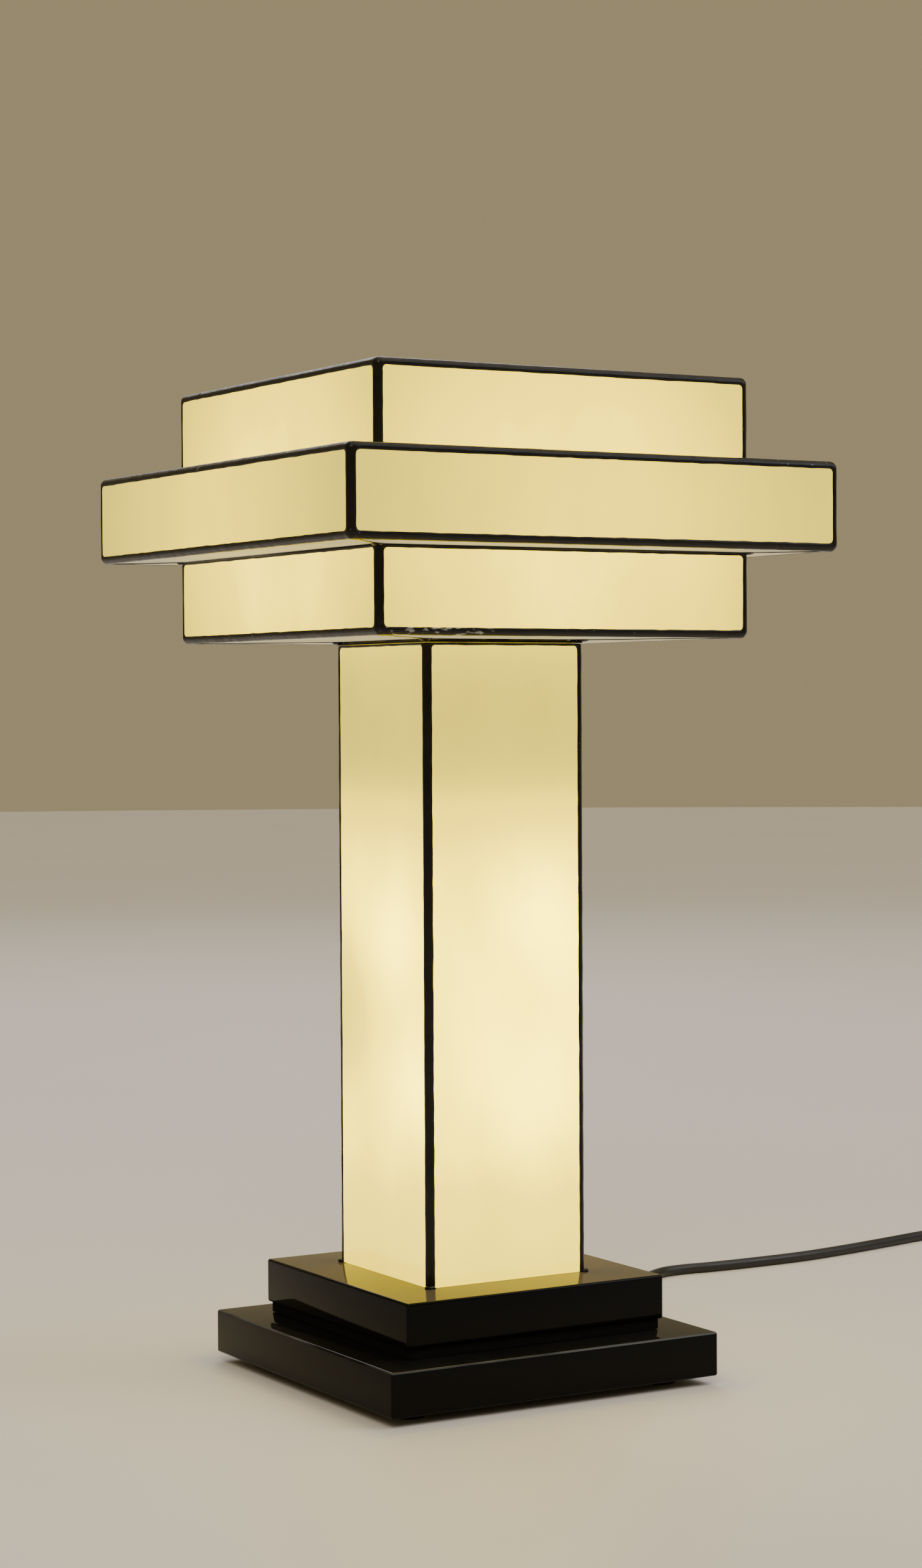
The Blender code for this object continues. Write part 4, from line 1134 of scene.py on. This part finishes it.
def build_tie():
    """A woven strap round the coil's turns, pulled through its own loop."""
    reach = COIL_LANES[1]
    outline = []
    for cx, cz, start in ((6.6, 9.6, 0), (-6.6, 9.6, 90), (-6.6, 3.4, 180), (6.6, 3.4, 270)):
        outline += [(cx, cz, math.radians(start + 15 * k)) for k in range(7)]
    bm = bmesh.new()
    loops = []
    for across in (-4.5, -4.3, 4.3, 4.5):
        for radius in ((3.05, 3.5) if abs(across) > 4.4 else (2.9, 3.7)):
            loops.append([bm.verts.new(COIL_CENTRE + Vector((reach + cx + radius * math.cos(a), across,
                                                             max(0.02, cz + radius * math.sin(a)))) * MM)
                          for cx, cz, a in outline])
    skin(bm, [loops[i] for i in (0, 2, 4, 6, 7, 5, 3, 1, 0)])
    bmesh.ops.recalc_face_normals(bm, faces=bm.faces)
    strap = from_bmesh("coil_tie", bm, TIE, 40.0)
    slide = loft("tie_buckle", ((-3.2, 5.0, 0.5, 3.0), (-2.9, 5.4, 0.9, 3.0), (0.0, 5.5, 1.1, 3.0),
                                (2.9, 5.4, 0.9, 3.0), (3.2, 5.0, 0.5, 3.0)),
                 COIL_CENTRE + Vector((reach, 0.0, 13.2)) * MM, TIE)
    tail = loft("tie_tail", ((-11.0, 4.1, 0.3, 4.0), (-10.0, 4.3, 0.4, 4.0), (0.0, 4.3, 0.4, 4.0)),
                COIL_CENTRE + Vector((reach, 0.0, 13.9)) * MM, TIE)
    return goes(joined(strap, slide, tail), "stand", "cord_pvc")


cord, cord_path = build_cord()
build_gland()
cord_fittings = build_plug() + build_switch() + [build_tie()]
[tuple(p) for p in cord_path]


# ---------------------------------------------------------------- bulbs, lampholders and base
def bulb_profile(kind):
    """Half outline of a bulb's glass from its cap up, in mm above the holder's mouth."""
    if kind == "globe":
        neck = [(8.4, 0.4), (8.6, 2.0), (9.6, 4.5), (11.8, 8.5), (14.6, 13.0)]
        ball = [(22.5 * math.sin(a), 35.5 - 22.5 * math.cos(a)) for a in
                (math.radians(d) for d in range(48, 180, 8))]
        return neck + ball + [(0, 58.0)]
    side = [(9.4, 0.4), (10.6, 1.6), (12.0, 3.6), (12.5, 6.5), (12.5, 37.0)]
    cap = [(12.5 * math.cos(a), 37.5 + 12.5 * math.sin(a)) for a in
           (math.radians(d) for d in range(6, 90, 12))]
    return side + cap + [(0, 50.0)]


def build_lamp(name, kind, body, x):
    """A lampholder and its bulb: ribbed phenolic barrel, threaded nickel cap, frosted glass."""
    low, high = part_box(f"{name}_holder")
    foot = Vector((x, 0.0, low.z))
    barrel = ((5.1, 0), (12.6, 0), (13.4, 0.8), (13.4, 7.6), (12.7, 8.4), (12.7, 9.6), (13.3, 10.4),
              (13.3, 21.0), (13.9, 21.8), (14.0, 24.0), (13.9, 28.6), (13.2, 29.6), (12.4, 30.0), (8.6, 30.0),
              (8.0, 29.4), (7.6, 28.4), (7.5, 7.6), (5.1, 7.4), (5.1, 0))
    holder = lathe(f"{name}_lampholder", barrel, foot, BAKELITE)
    close_outline(holder)
    sizes = {"Ribs": 36, "Radius": 13.25 * MM, "Rib": 0.42 * MM, "Height": 9.6 * MM}
    ribs = grown(f"{name}_holder_ribs", BAKELITE, sizes, grip_ribs)
    turned_to(ribs, foot + Vector((0, 0, 15.7)) * MM)
    goes(joined(holder, ribs), "stand", "holder_plastic", f"{name}_holder")

    mouth = Vector((x, 0.0, high.z))
    outline = [(0, 0.3), (7.0, 0.3)] + bulb_profile(kind)
    glass = lathe(f"{name}_bulb_glass", outline, mouth, BULB_GLASS, "Z", 48)
    shell = ((0, 0.4), (7.3, 0.4), (7.3, -0.2), (6.3, -1.0), (6.3, -17.4), (5.6, -18.6), (3.2, -20.0),
             (3.0, -20.9), (1.6, -21.4), (0, -21.5))
    cap = lathe(f"{name}_bulb_cap", shell, mouth, NICKEL)
    sizes = {"Turns": 5.2, "Radius": 6.35 * MM, "Height": 14.2 * MM, "Thread": 0.5 * MM}
    thread = grown(f"{name}_cap_thread", NICKEL, sizes, screw_thread)
    turned_to(thread, mouth + Vector((0, 0, -16.2)) * MM)
    goes(glass, body, "bulb_glass", f"{name}_bulb")
    goes(joined(cap, thread), body, "zinc_steel")


def close_outline(piece):
    """Closes the seam of a turned ring whose outline comes back to its start."""
    bm = bmesh.new()
    bm.from_mesh(piece.data)
    bmesh.ops.remove_doubles(bm, verts=bm.verts, dist=0.001 * MM)
    bmesh.ops.recalc_face_normals(bm, faces=bm.faces)
    bm.to_mesh(piece.data)
    bm.free()


def build_slab(name):
    """A lacquered slab: board with softened, polished edges. Gives it and the height of its underside."""
    low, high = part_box(name)
    bm = bmesh.new()
    bmesh.ops.create_cube(bm, size=1.0)
    for vert in bm.verts:
        vert.co = [high[k] if vert.co[k] > 0 else low[k] for k in range(3)]
    bmesh.ops.bevel(bm, geom=bm.edges[:], offset=SLAB_EDGE, offset_type="OFFSET", segments=5, profile=0.5,
                    affect="EDGES")
    return from_bmesh(f"{name}_board", bm, LACQUER[name], 35.0), low.z


def drill(name, start, end, centre, axis="Z"):
    """A drill's shape for cut, from start to end mm along the axis."""
    return lathe(name, ((0, start), (BORE, start), (BORE, end), (0, end)), centre, BOARD, axis)


def build_base():
    """The two slabs, drilled for the tube and hollowed for the cord, and the base cover's screws."""
    upper, floor = build_slab("upper_slab")
    goes(cut(upper, drill("tube_bore", -1, 24, (0, 0, floor))), "stand", "black_lacquer", "upper_slab")
    lower, floor = build_slab("lower_slab")
    near, far = CAVITY
    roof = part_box("centre_tube")[0].z + CAVITY_DEPTH
    cavity = stage_object("cavity", box_mesh("cavity", (*near, floor - MM), (*far, roof)))
    x, _, z = CORD_EXIT
    hole = drill("cord_hole", -1, 60, (x, 0.036, z), "Y")
    goes(cut(lower, drill("tube_bore", 1, 24, (0, 0, floor)), cavity, hole), "stand", "black_lacquer",
         "lower_slab")
    low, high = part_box("base_cover")
    sizes = {"Length": high.x - low.x - 7.0 * MM, "Width": high.y - low.y - 7.0 * MM, "Along": 2, "Across": 2}
    screws = grown("base_cover_screws", ZINC, sizes, on_grid, screw_head("cover_screw_head", 2.6))
    screws.data.transform(Matrix.Rotation(math.pi, 4, "X"))
    turned_to(screws, ((low.x + high.x) / 2, 0.0, low.z + 0.2 * MM))
    goes(screws, "stand", "zinc_steel")


for lamp, kind, body, across in (("top", "globe", "top_bulb", 0.0), ("lower", "tube", "stand", ARM_REACH),
                                 ("upper", "tube", "stand", ARM_REACH)):
    build_lamp(lamp, kind, body, across)
build_base()


# ---------------------------------------------------------------- carried-over pieces
def wear(material, *names):
    """Gives CAD pieces a material."""
    for name in names:
        mesh = nodes[name].data
        mesh.materials.clear()
        mesh.materials.append(material)


wear(BOARD, "slab_spacer", "base_cover", "column_locator")
wear(BLACK_STEEL, "column_top_plate")
wear(SOLDER, "opening_rim")
wear(ZINC, "base_nut", "centre_tube", "lower_arm", "upper_arm")
wear(RUBBER, *[f"foot_{a}_{b}" for a in ("front", "rear") for b in ("left", "right")])


# ---------------------------------------------------------------- stage
def build_stage():
    """A pale table, warm surroundings, three softboxes round the lamp and a glow from the ceiling."""
    bm = bmesh.new()
    bmesh.ops.create_circle(bm, cap_ends=True, segments=96, radius=FLOOR_RADIUS)
    floor = from_bmesh("floor", bm, pale_table("pale_floor"))
    world = bpy.data.worlds.new("studio")
    world.use_nodes = True
    feed(world.node_tree.nodes["Background"], {"Color": linear("CDBA8E"), "Strength": 0.55})
    bpy.context.scene.world = world
    lights = (
        ("key_softbox", (-1.5, -1.9, 2.4), 1.8, 30.0, "FFF6EC"),
        ("fill_softbox", (2.2, -1.6, 1.9), 1.8, 26.0, "EAF1FF"),
        ("back_softbox", (0.9, 2.2, 2.2), 1.6, 22.0, "F2F5FF"),
    )
    for name, place, size, power, colour in lights:
        data = bpy.data.lights.new(name, "AREA")
        data.shape = "SQUARE"
        data.size = size
        data.energy = power
        data.color = linear(colour)[:3]
        lamp = stage_object(name, data)
        lamp.location = place
        lamp.rotation_euler = (Vector((0, 0, 0.25)) - Vector(place)).to_track_quat("-Z", "Y").to_euler()
    sky = bpy.data.lights.new("ceiling_glow", "SUN")
    sky.energy = 1.1
    sky.angle = math.radians(70)
    sky.color = linear("FFF8F0")[:3]
    stage_object("ceiling_glow", sky).rotation_euler = (math.radians(12), math.radians(8), 0.0)


build_stage()
